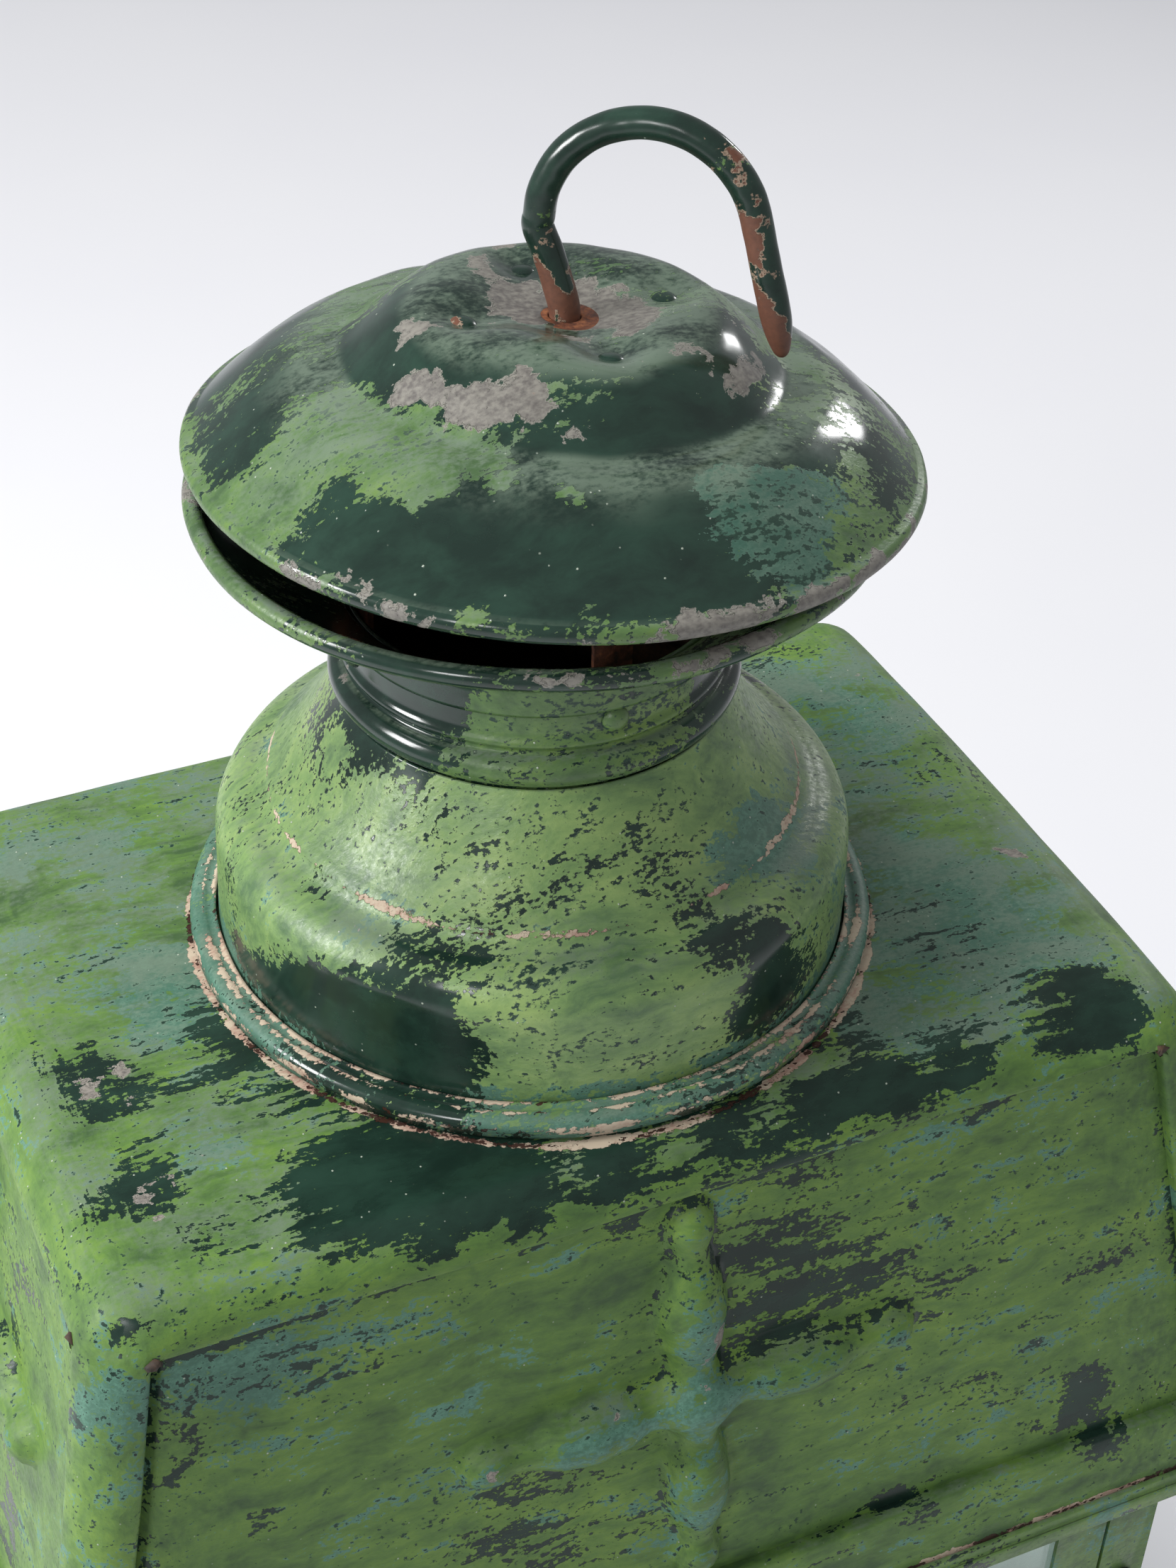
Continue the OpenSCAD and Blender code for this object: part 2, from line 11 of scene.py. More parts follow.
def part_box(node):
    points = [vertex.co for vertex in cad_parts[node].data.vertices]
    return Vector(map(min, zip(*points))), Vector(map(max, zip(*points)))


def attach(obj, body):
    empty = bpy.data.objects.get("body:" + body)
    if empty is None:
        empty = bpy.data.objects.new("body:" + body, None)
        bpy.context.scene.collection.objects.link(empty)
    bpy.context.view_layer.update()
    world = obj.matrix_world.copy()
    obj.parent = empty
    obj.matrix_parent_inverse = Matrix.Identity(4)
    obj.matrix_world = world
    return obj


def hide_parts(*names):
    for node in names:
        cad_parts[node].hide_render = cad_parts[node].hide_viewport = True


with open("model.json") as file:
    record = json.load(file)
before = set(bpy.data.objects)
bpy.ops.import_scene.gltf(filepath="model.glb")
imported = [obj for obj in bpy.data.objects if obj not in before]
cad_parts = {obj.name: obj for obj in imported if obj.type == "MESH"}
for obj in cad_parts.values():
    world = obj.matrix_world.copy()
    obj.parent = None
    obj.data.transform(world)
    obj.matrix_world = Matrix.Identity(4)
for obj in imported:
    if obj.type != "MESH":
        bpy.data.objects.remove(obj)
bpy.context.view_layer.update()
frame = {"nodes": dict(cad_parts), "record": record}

mm = 0.001
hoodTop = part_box("hood_shell")[1].z
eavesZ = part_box("hood_shell")[0].z


# ---- small helpers ----

def clamp(v, low=0.0, high=1.0):
    return max(low, min(high, v))


def smooth(a, b, v):
    t = clamp((v - a) / (b - a))
    return t * t * (3 - 2 * t)


def hump(distance, width):
    return exp(-(distance / width) ** 2)


def unevenness(p, size, seed=0.0):
    # soft random swelling of hand-worked sheet, about -1 to 1
    return noise.noise(Vector((p.x / size + seed, p.y / size - seed, p.z / size + 2 * seed)))


def roundedLine(points, cuts=4):
    # a smooth line through a few chosen points
    line = []
    last = len(points) - 1
    for i in range(last):
        a, b = points[max(i - 1, 0)], points[i]
        c, d = points[i + 1], points[min(i + 2, last)]
        for k in range(cuts):
            t = k / cuts
            line.append(tuple(
                0.5 * (2 * b[n] + (c[n] - a[n]) * t + (2 * a[n] - 5 * b[n] + 4 * c[n] - d[n]) * t ** 2
                       + (3 * b[n] - a[n] - 3 * c[n] + d[n]) * t ** 3) for n in range(len(b))))
    line.append(tuple(points[-1]))
    return line


def finishPiece(name, bm, material, body, nodes=(), seam=None, lean=None, flat=False):
    # turns a bmesh into a piece that rides on a body and stands for its CAD nodes
    mesh = bpy.data.meshes.new(name)
    bm.to_mesh(mesh)
    bm.free()
    piece = bpy.data.objects.new(name, mesh)
    bpy.context.scene.collection.objects.link(piece)
    mesh.materials.append(material)
    for face in mesh.polygons:
        face.use_smooth = not flat
    paintWear(mesh, seam, lean)
    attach(piece, body)
    if nodes:
        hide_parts(*nodes)
    return piece


def addBevel(piece, width, segments=2, angle=35):
    bevel = piece.modifiers.new("bevel", "BEVEL")
    bevel.width = width
    bevel.segments = segments
    bevel.limit_method = "ANGLE"
    bevel.angle_limit = radians(angle)
    bevel.harden_normals = True
    return bevel


def addSolidify(piece, thickness, even=True):
    solid = piece.modifiers.new("sheet", "SOLIDIFY")
    solid.thickness = thickness
    solid.offset = -1.0
    solid.use_even_offset = even
    return solid


def addSubdivision(piece, levels=1):
    sub = piece.modifiers.new("subdivision", "SUBSURF")
    sub.levels = levels
    sub.render_levels = levels
    return sub


def spinProfile(profile, steps, closed=False):
    # spins an outline of (radius, height) pairs in millimetres about Z
    bm = bmesh.new()
    verts = [bm.verts.new((r * mm, 0, z * mm)) for r, z in profile]
    edges = [bm.edges.new(pair) for pair in zip(verts, verts[1:])]
    if closed:
        edges.append(bm.edges.new((verts[-1], verts[0])))
    bmesh.ops.spin(bm, geom=verts + edges, axis=(0, 0, 1), cent=(0, 0, 0), angle=2 * pi,
                   steps=steps, use_merge=True, use_duplicate=False)
    bmesh.ops.remove_doubles(bm, verts=bm.verts, dist=1e-6)
    bmesh.ops.recalc_face_normals(bm, faces=bm.faces)
    return bm


def faceOutwards(bm, outside):
    # turns the skin over if most of it looks away from the side that outside(centre) points to
    lean = sum(f.calc_area() * f.normal.dot(outside(f.calc_center_median())) for f in bm.faces)
    if lean < 0:
        bmesh.ops.reverse_faces(bm, faces=bm.faces)


def sweepRod(path, radii, sides=20):
    # a round rod along a path, its ends closed
    bm = bmesh.new()
    loop = None
    first = None
    for i, (point, radius) in enumerate(zip(path, radii)):
        ahead = path[min(i + 1, len(path) - 1)] - path[max(i - 1, 0)]
        turn = Vector((0, 0, 1)).rotation_difference(ahead.normalized()).to_matrix().to_4x4()
        place = Matrix.Translation(point) @ turn
        if loop is None:
            made = bmesh.ops.create_circle(bm, cap_ends=False, segments=sides, radius=1.0)
            loop = made["verts"]
            first = loop
        else:
            edges = list({e for v in loop for e in v.link_edges if all(w in loop for w in e.verts)})
            made = bmesh.ops.extrude_edge_only(bm, edges=edges)
            fresh = [g for g in made["geom"] if isinstance(g, bmesh.types.BMVert)]
            pairs = {}
            for v in fresh:
                for e in v.link_edges:
                    other = e.other_vert(v)
                    if other in loop:
                        pairs[other] = v
            loop = [pairs[v] for v in loop]
        for k, v in enumerate(loop):
            a = 2 * pi * k / sides
            v.co = place @ Vector((radius * cos(a), radius * sin(a), 0))
    for ring in (first, loop):
        bmesh.ops.contextual_create(bm, geom=list(ring))
    bmesh.ops.recalc_face_normals(bm, faces=bm.faces)
    return bm


def cleanCopy(node):
    # a CAD node's mesh with its loose triangles joined into whole faces
    bm = bmesh.new()
    bm.from_mesh(frame["nodes"][node].data)
    bmesh.ops.remove_doubles(bm, verts=bm.verts, dist=2e-6)
    bmesh.ops.dissolve_limit(bm, angle_limit=radians(1.0), verts=bm.verts, edges=bm.edges,
                             use_dissolve_boundaries=False)
    return bm


def crossPoint(origin, normal, start, direction):
    t = (origin - start).dot(normal) / direction.dot(normal)
    return start + direction * t


# ---- materials ----

def linearColour(hexText, alpha=1.0):
    # sRGB hex to the linear colour that the shaders want
    values = [int(hexText[i:i + 2], 16) / 255 for i in (1, 3, 5)]
    return tuple(v / 12.92 if v <= 0.04045 else ((v + 0.055) / 1.055) ** 2.4 for v in values) + (alpha,)


def addNode(tree, kind, inputs=None, **settings):
    # one node with its settings; an input is a number, or the node or output that feeds it
    node = tree.nodes.new("ShaderNode" + kind)
    for key, value in settings.items():
        setattr(node, key, value)
    for key, value in (inputs or {}).items():
        socket = node.inputs[key] if isinstance(key, int) else next(
            s for s in node.inputs if s.enabled and s.name == key)
        if isinstance(value, bpy.types.Node):
            value = next(s for s in value.outputs if s.enabled)
        if isinstance(value, bpy.types.NodeSocket):
            tree.links.new(value, socket)
        else:
            socket.default_value = value
    return node


def newMaterial(name):
    material = bpy.data.materials.new(name)
    material.use_nodes = True
    tree = material.node_tree
    tree.nodes.clear()
    shader = addNode(tree, "BsdfPrincipled")
    addNode(tree, "OutputMaterial", {"Surface": shader})
    place = addNode(tree, "TexCoord").outputs["Object"]
    return material, tree, shader, place


def grains(size, along=1.0, across=1.0, up=1.0):
    # pattern scale for blotches of a size in millimetres, longer along an axis where it is over 1
    return (1 / (size * mm * along), 1 / (size * mm * across), 1 / (size * mm * up))


# Old oil paint brushed on sheet iron in three coats: a hard, glossy bottle green at the bottom,
# chalky turquoise over it, and a satin moss green on top that has rubbed and flaked away.
paintColours = {
    "lime": "#6d8b3b", "moss": "#557439", "olive": "#3d5634",
    "turquoise": "#426656", "paleTurquoise": "#5d8874", "film": "#667565",
    "bottle": "#15261f", "bottleLight": "#20382d",
    "zinc": "#54504d", "zincPale": "#8b857d", "rust": "#7d4a30", "rustDark": "#3b261e",
    "cream": "#b7a893", "pink": "#9c7a6c", "dust": "#a9b2a3",
}


def wornPaint(name, finish):
    material, tree, shader, place = newMaterial(name)
    colours = {key: linearColour(value) for key, value in dict(paintColours, **finish.get("colours", {})).items()}
    bias = addNode(tree, "Attribute", attribute_name="coat")
    lean = addNode(tree, "SeparateColor", {"Color": bias.outputs["Color"]})
    drift = addNode(tree, "TexNoise", {
        "Vector": addNode(tree, "Mapping", {"Vector": place, "Scale": grains(22)}), "Scale": 1, "Detail": 3})
    bent = addNode(tree, "VectorMath", {
        0: addNode(tree, "VectorMath", {0: drift.outputs["Color"], 1: (0.5, 0.5, 0.5)}, operation="SUBTRACT"),
        1: (0.011, 0.011, 0.011), 2: place}, operation="MULTIPLY_ADD")
    patch = addNode(tree, "TexNoise", {
        "Vector": addNode(tree, "Mapping", {"Vector": bent, "Scale": grains(finish["patch"], along=1.5)}),
        "Scale": 1, "Detail": 4, "Roughness": 0.55})
    # brush marks 2 mm wide, along the front on most of the hood and along its sides near the ends
    strokes = [addNode(tree, "TexNoise", {
        "Vector": addNode(tree, "Mapping", {"Vector": bent, "Scale": grains(2.1, *way)}),
        "Scale": 1, "Detail": 5, "Roughness": 0.62}) for way in ((13, 1, 1.6), (1, 13, 1.6))]
    across = addNode(tree, "SeparateXYZ", {"Vector": bent})
    nearEnd = addNode(tree, "MapRange", {
        "Value": addNode(tree, "Math", {0: across.outputs["X"]}, operation="ABSOLUTE"),
        "From Min": finish.get("endBrushing", 0.09), "From Max": finish.get("endBrushing", 0.09) + 0.025})
    stroke = addNode(tree, "Mix", {"Factor": nearEnd, "A": strokes[0], "B": strokes[1]}, data_type="FLOAT")
    fleck = addNode(tree, "TexNoise", {
        "Vector": addNode(tree, "Mapping", {"Vector": place, "Scale": grains(1.0, along=1.5)}),
        "Scale": 1, "Detail": 4, "Roughness": 0.6})
    mottle = addNode(tree, "TexNoise", {
        "Vector": addNode(tree, "Mapping", {"Vector": bent, "Scale": grains(11, along=2.0)}),
        "Scale": 1, "Detail": 7, "Roughness": 0.68})
    scab = addNode(tree, "TexNoise", {
        "Vector": addNode(tree, "Mapping", {"Vector": bent, "Scale": grains(15)}),
        "Scale": 1, "Detail": 6, "Roughness": 0.58})

    def weigh(parts, shift):
        # sum of weighted patterns, each about its middle value of one half
        total = None
        for source, weight in parts:
            middle = 0.5 * weight
            term = addNode(tree, "Math", {0: source, 1: weight, 2: -middle}, operation="MULTIPLY_ADD")
            total = term if total is None else addNode(tree, "Math", {0: total, 1: term}, operation="ADD")
        return addNode(tree, "Math", {0: total, 1: shift}, operation="ADD")

    def step(value, start, end):
        return addNode(tree, "MapRange", {"Value": value, "From Min": start, "From Max": end},
                       interpolation_type="SMOOTHSTEP")

    darkSum = addNode(tree, "Math", {
        0: weigh([(patch, 1.0), (stroke, finish["stroke"]), (fleck, finish["fleck"])], -finish["dark"]),
        1: lean.outputs["Red"]}, operation="ADD")
    dark = step(darkSum, 0.0, 0.018)
    blueSum = addNode(tree, "Math", {
        0: weigh([(mottle, 0.8), (scab, 0.35), (stroke, 0.5), (fleck, 0.45)], -finish["turquoise"]),
        1: lean.outputs["Blue"]}, operation="ADD")
    blue = step(blueSum, -0.02, 0.035)
    bareSum = addNode(tree, "Math", {
        0: weigh([(scab, 0.9), (mottle, 0.25), (fleck, 0.10)], -finish["bare"]),
        1: lean.outputs["Green"]}, operation="ADD")
    bare = step(bareSum, 0.0, 0.012)
    chipEdge = addNode(tree, "Math", {0: step(bareSum, -0.016, -0.004), 1: bare}, operation="SUBTRACT")

    tint = addNode(tree, "ValToRGB", {"Fac": weigh([(mottle, 0.8), (stroke, 0.5), (patch, 0.5)], 0.5)})
    ramp = tint.color_ramp
    ramp.elements[0].position, ramp.elements[0].color = 0.31, colours["olive"]
    ramp.elements[1].position, ramp.elements[1].color = 0.67, colours["lime"]
    ramp.elements.new(0.48).color = colours["moss"]
    sea = addNode(tree, "Mix", {"Factor": step(weigh([(mottle, 0.5), (fleck, 0.7), (stroke, 0.3)], 0.5), 0.42, 0.72),
                                "A": colours["turquoise"], "B": colours["paleTurquoise"]}, data_type="RGBA")
    coat = addNode(tree, "Mix", {"Factor": blue, "A": tint, "B": sea}, data_type="RGBA")
    # weather film and painted sheen: the coat turns a paler grey-green on what faces the sky; and grime in the low
    # spots and scratches of the top coat
    skyward = addNode(tree, "SeparateXYZ", {"Vector": addNode(tree, "NewGeometry").outputs["Normal"]}).outputs["Z"]
    film = addNode(tree, "Math", {0: step(skyward, 0.55, 0.98),
                                  1: step(weigh([(scab, 0.8), (mottle, 0.6), (fleck, 0.5)], 0.5), 0.36, 0.66)},
                   operation="MULTIPLY")
    film = addNode(tree, "Math", {0: film, 1: finish.get("film", 0.75)}, operation="MULTIPLY")
    coat = addNode(tree, "Mix", {"Factor": film, "A": coat, "B": colours["film"]}, data_type="RGBA")
    grimeAndPaintedShade = step(weigh([(fleck, 0.9), (stroke, 0.7), (patch, 0.5)], 0.5), finish.get("grimeAndPaintedShade", 0.61),
                 finish.get("grimeAndPaintedShade", 0.61) + 0.07)
    coat = addNode(tree, "Mix", {"Factor": grimeAndPaintedShade, "A": coat, "B": colours["bottleLight"]}, data_type="RGBA")
    under = addNode(tree, "Mix", {"Factor": step(mottle, 0.35, 0.7), "A": colours["bottle"],
                                  "B": colours["bottleLight"]}, data_type="RGBA")
    paint = addNode(tree, "Mix", {"Factor": dark, "A": coat, "B": under}, data_type="RGBA")
    # painted sheen with weathering: a grey haze on the flattest upward faces, such as the crown's top
    if "crownFilmAndSheen" in finish:
        crownHazeAndSheen = addNode(tree, "Math", {0: step(skyward, 0.84, 0.98),
                                      1: step(weigh([(mottle, 0.9), (fleck, 0.5)], 0.5), 0.34, 0.60)},
                       operation="MULTIPLY")
        crownHazeAndSheen = addNode(tree, "Math", {0: crownHazeAndSheen, 1: finish["crownFilmAndSheen"]}, operation="MULTIPLY")
        paint = addNode(tree, "Mix", {"Factor": crownHazeAndSheen, "A": paint, "B": colours["film"]}, data_type="RGBA")
    dustSpot = addNode(tree, "TexVoronoi", {
        "Vector": addNode(tree, "Mapping", {"Vector": place, "Scale": grains(3.4)}), "Scale": 1, "Randomness": 1.0})
    dust = addNode(tree, "Math", {
        0: step(dustSpot.outputs["Distance"], 0.085, 0.03),
        1: step(mottle, 0.42, 0.55)}, operation="MULTIPLY")
    paint = addNode(tree, "Mix", {"Factor": dust, "A": paint, "B": colours["dust"]}, data_type="RGBA")
    metal = addNode(tree, "Mix", {"Factor": step(weigh([(fleck, 0.9), (scab, 0.6)], 0.5), 0.3, 0.75),
                                  "A": colours["zinc"], "B": colours["zincPale"]}, data_type="RGBA")
    rusty = step(weigh([(mottle, 1.0), (fleck, 0.35)], 0.5), finish.get("rusty", 0.60), finish.get("rusty", 0.60) + 0.1)
    ironRust = addNode(tree, "Mix", {"Factor": fleck, "A": colours["rustDark"], "B": colours["rust"]}, data_type="RGBA")
    metal = addNode(tree, "Mix", {"Factor": rusty, "A": metal, "B": ironRust}, data_type="RGBA")
    paint = addNode(tree, "Mix", {"Factor": bare, "A": paint, "B": metal}, data_type="RGBA")
    paint = addNode(tree, "Mix", {"Factor": chipEdge, "A": paint, "B": colours["zincPale"]}, data_type="RGBA")

    # cracked filler along the seams: broken cream and pink crust beside a dark line
    seam = bias.outputs["Alpha"]
    if "seamRadius" in finish or "seamHeight" in finish:
        where = addNode(tree, "SeparateXYZ", {"Vector": place})
        flatPlace = addNode(tree, "CombineXYZ", {"X": where.outputs["X"], "Y": where.outputs["Y"]})
        reach = addNode(tree, "VectorMath", {0: flatPlace}, operation="LENGTH").outputs["Value"]
        for source, level in ((reach, finish.get("seamRadius")), (where.outputs["Z"], finish.get("seamHeight"))):
            if level is not None:
                off = addNode(tree, "Math", {0: source, 1: -level}, operation="ADD")
                line = step(addNode(tree, "Math", {0: off}, operation="ABSOLUTE"), 0.0032, 0.0)
                seam = addNode(tree, "Math", {0: seam, 1: line}, operation="MAXIMUM")
    crust = addNode(tree, "Math", {
        0: weigh([(mottle, 1.2), (fleck, 0.8), (scab, 1.3)], -0.80), 1: seam}, operation="ADD")
    crusted = step(crust, 0.0, 0.05)
    crustColour = addNode(tree, "Mix", {"Factor": step(weigh([(mottle, 1.0), (fleck, 0.6)], 0.5), 0.35, 0.62),
                                        "A": colours["pink"], "B": colours["cream"]}, data_type="RGBA")
    paint = addNode(tree, "Mix", {"Factor": crusted, "A": paint, "B": crustColour}, data_type="RGBA")
    crack = addNode(tree, "Math", {
        0: weigh([(mottle, -1.0), (fleck, 0.9), (scab, -0.8)], -1.02), 1: seam}, operation="ADD")
    cracked = step(crack, 0.0, 0.03)
    paint = addNode(tree, "Mix", {"Factor": cracked, "A": paint, "B": colours["rustDark"]}, data_type="RGBA")
    tree.links.new(paint.outputs["Result"], shader.inputs["Base Color"])

    # gloss: the bottle green still shines, the moss coat is satin, metal and crust are dull
    sheen = addNode(tree, "Mix", {"Factor": dark, "A": step(fleck, 0.2, 0.9), "B": 0.0}, data_type="FLOAT")
    satin = addNode(tree, "MapRange", {"Value": sheen, "To Min": finish["gloss"], "To Max": 0.62})
    satin = addNode(tree, "Mix", {"Factor": blue, "A": satin, "B": 0.52}, data_type="FLOAT")
    satin = addNode(tree, "Mix", {"Factor": dark, "A": satin, "B": addNode(tree, "MapRange", {
        "Value": mottle, "From Min": 0.3, "From Max": 0.7, "To Min": finish["gloss"] * 0.45,
        "To Max": finish["gloss"] * 0.85})}, data_type="FLOAT")
    satin = addNode(tree, "Mix", {"Factor": bare, "A": satin, "B": 0.55}, data_type="FLOAT")
    satin = addNode(tree, "Mix", {"Factor": crusted, "A": satin, "B": 0.85}, data_type="FLOAT")
    tree.links.new(next(s for s in satin.outputs if s.enabled), shader.inputs["Roughness"])

    # thickness of the coats, in tenths of a millimetre
    lift = weigh([(fleck, 0.35), (stroke, 0.45), (mottle, 0.6)], 0.0)
    lift = addNode(tree, "Mix", {"Factor": dark, "A": lift, "B": -0.35}, data_type="FLOAT")
    lift = addNode(tree, "Mix", {"Factor": bare, "A": lift, "B": -1.0}, data_type="FLOAT")
    lift = addNode(tree, "Math", {0: crusted, 1: 1.6, 2: lift}, operation="MULTIPLY_ADD")
    lift = addNode(tree, "Math", {0: cracked, 1: -2.4, 2: lift}, operation="MULTIPLY_ADD")
    lift = addNode(tree, "Math", {0: dust, 1: 0.5, 2: lift}, operation="MULTIPLY_ADD")
    relief = addNode(tree, "Bump", {"Height": lift, "Strength": 1.0, "Distance": finish.get("relief", 0.00022)})
    tree.links.new(relief.outputs[0], shader.inputs["Normal"])
    shader.inputs["Specular IOR Level"].default_value = finish.get("shine", 0.5)
    return material


def plainFinish(name, colours, grain, roughness, metallic=0.0, relief=0.00008, specks=None, **sockets):
    # a mottled finish in three shades, for the parts that aren't painted
    material, tree, shader, place = newMaterial(name)
    cloud = addNode(tree, "TexNoise", {
        "Vector": addNode(tree, "Mapping", {"Vector": place, "Scale": grains(grain)}),
        "Scale": 1, "Detail": 7, "Roughness": 0.62, "Distortion": 0.3})
    fine = addNode(tree, "TexNoise", {
        "Vector": addNode(tree, "Mapping", {"Vector": place, "Scale": grains(0.8)}), "Scale": 1, "Detail": 4})
    blend = addNode(tree, "Math", {0: fine, 1: 0.3, 2: cloud}, operation="MULTIPLY_ADD")
    tint = addNode(tree, "ValToRGB", {"Fac": blend})
    ramp = tint.color_ramp
    ramp.elements[0].position, ramp.elements[0].color = 0.48, linearColour(colours[0])
    ramp.elements[1].position, ramp.elements[1].color = 0.84, linearColour(colours[2])
    ramp.elements.new(0.66).color = linearColour(colours[1])
    skin = tint
    if specks:
        spot = addNode(tree, "MapRange", {"Value": cloud, "From Min": 0.56, "From Max": 0.64},
                       interpolation_type="SMOOTHSTEP")
        skin = addNode(tree, "Mix", {"Factor": spot, "A": tint, "B": linearColour(specks)}, data_type="RGBA")
    tree.links.new(next(s for s in skin.outputs if s.enabled), shader.inputs["Base Color"])
    dull = addNode(tree, "MapRange", {"Value": blend, "From Min": 0.45, "From Max": 0.85,
                                      "To Min": roughness - 0.08, "To Max": roughness + 0.14})
    tree.links.new(dull.outputs[0], shader.inputs["Roughness"])
    relieved = addNode(tree, "Bump", {"Height": blend, "Strength": 1.0, "Distance": relief})
    tree.links.new(relieved.outputs[0], shader.inputs["Normal"])
    shader.inputs["Metallic"].default_value = metallic
    for key, value in sockets.items():
        shader.inputs[key.replace("_", " ")].default_value = value
    return material


hoodPaint = wornPaint("brushedOilPaintOnHood", {
    "patch": 46, "dark": 0.15, "turquoise": 0.10, "bare": 0.235, "stroke": 0.68, "fleck": 0.40,
    "gloss": 0.42, "shine": 0.28, "seamRadius": 0.0736, "seamHeight": 0.2236})
chimneyPaint = wornPaint("glossBottleGreenOnChimney", {
    "patch": 34, "dark": -0.12, "turquoise": 0.17, "bare": 0.21, "stroke": 0.62, "fleck": 0.62,
    "gloss": 0.24, "endBrushing": 0.3, "grimeAndPaintedShade": 0.56, "rusty": 0.72, "crownFilmAndSheen": 0.7,
    "colours": {"turquoise": "#36584a", "paleTurquoise": "#4c7463", "zincPale": "#7d7a72",
                "lime": "#647f3c", "moss": "#4f6b3c"}})
domePaint = wornPaint("brushedOilPaintOnDome", {
    "patch": 38, "dark": 0.12, "turquoise": 0.17, "bare": 0.25, "stroke": 0.42, "fleck": 0.48,
    "gloss": 0.26, "endBrushing": 0.3, "grimeAndPaintedShade": 0.59,
    "colours": {"lime": "#88a05f", "moss": "#6d8a52", "olive": "#4c6844"}})
bodyPaint = wornPaint("brushedOilPaintOnBody", {
    "patch": 50, "dark": 0.10, "turquoise": 0.06, "bare": 0.20, "stroke": 0.5, "fleck": 0.34,
    "gloss": 0.33, "rusty": 0.52})
hookPaint = wornPaint("paintedIronRod", {
    "patch": 16, "dark": -0.16, "turquoise": 0.12, "bare": 0.16, "stroke": 0.15, "fleck": 0.40,
    "gloss": 0.34, "rusty": 0.34, "endBrushing": 0.3,
    "colours": {"zinc": "#6b5a50", "zincPale": "#8f7a68", "rust": "#744a37", "rustDark": "#4a3026"}})
sootySheet = plainFinish("sootedSheetInside", ("#1d1916", "#3a2f26", "#5e4632"), 14, 0.72)
rustedIron = plainFinish("rustedIron", ("#2c1d17", "#5e3624", "#8a5635"), 3.5, 0.72, relief=0.0002)
dulledTinplate = plainFinish("dulledTinplate", ("#4c4b46", "#6e6c65", "#8a877d"), 9, 0.42, metallic=0.75,
                             specks="#5a4030")
agedBrass = plainFinish("agedBrass", ("#5b4524", "#8c6f3a", "#b8975a"), 7, 0.34, metallic=0.9,
                        specks="#4a4630")
candleWax = plainFinish("tallowCandleWax", ("#cfc09a", "#e2d7b8", "#efe8d2"), 12, 0.42,
                        Subsurface_Weight=0.25, Subsurface_Scale=0.006)
burntCotton = plainFinish("burntCottonWick", ("#0f0d0c", "#241d18", "#6e6250"), 1.5, 0.9)


def oldGlass(name):
    # drawn sheet glass: faintly green, slightly wavy, with dusty patches
    material, tree, shader, place = newMaterial(name)
    wave = addNode(tree, "TexNoise", {
        "Vector": addNode(tree, "Mapping", {"Vector": place, "Scale": grains(38, up=2.5)}), "Scale": 1, "Detail": 1})
    film = addNode(tree, "TexNoise", {
        "Vector": addNode(tree, "Mapping", {"Vector": place, "Scale": grains(26)}), "Scale": 1, "Detail": 8,
        "Roughness": 0.7})
    dull = addNode(tree, "MapRange", {"Value": film, "From Min": 0.45, "From Max": 0.75,
                                      "To Min": 0.03, "To Max": 0.22})
    tree.links.new(dull.outputs[0], shader.inputs["Roughness"])
    bend = addNode(tree, "Bump", {"Height": wave, "Strength": 0.5, "Distance": 0.0008})
    tree.links.new(bend.outputs[0], shader.inputs["Normal"])
    shader.inputs["Base Color"].default_value = linearColour("#dfeee6")
    shader.inputs["Transmission Weight"].default_value = 1.0
    shader.inputs["IOR"].default_value = 1.52
    return material


windowGlass = oldGlass("drawnSheetGlass")
print("materials made")


# ---- where the paint has worn, in millimetres: x, y, z, size and strength ----

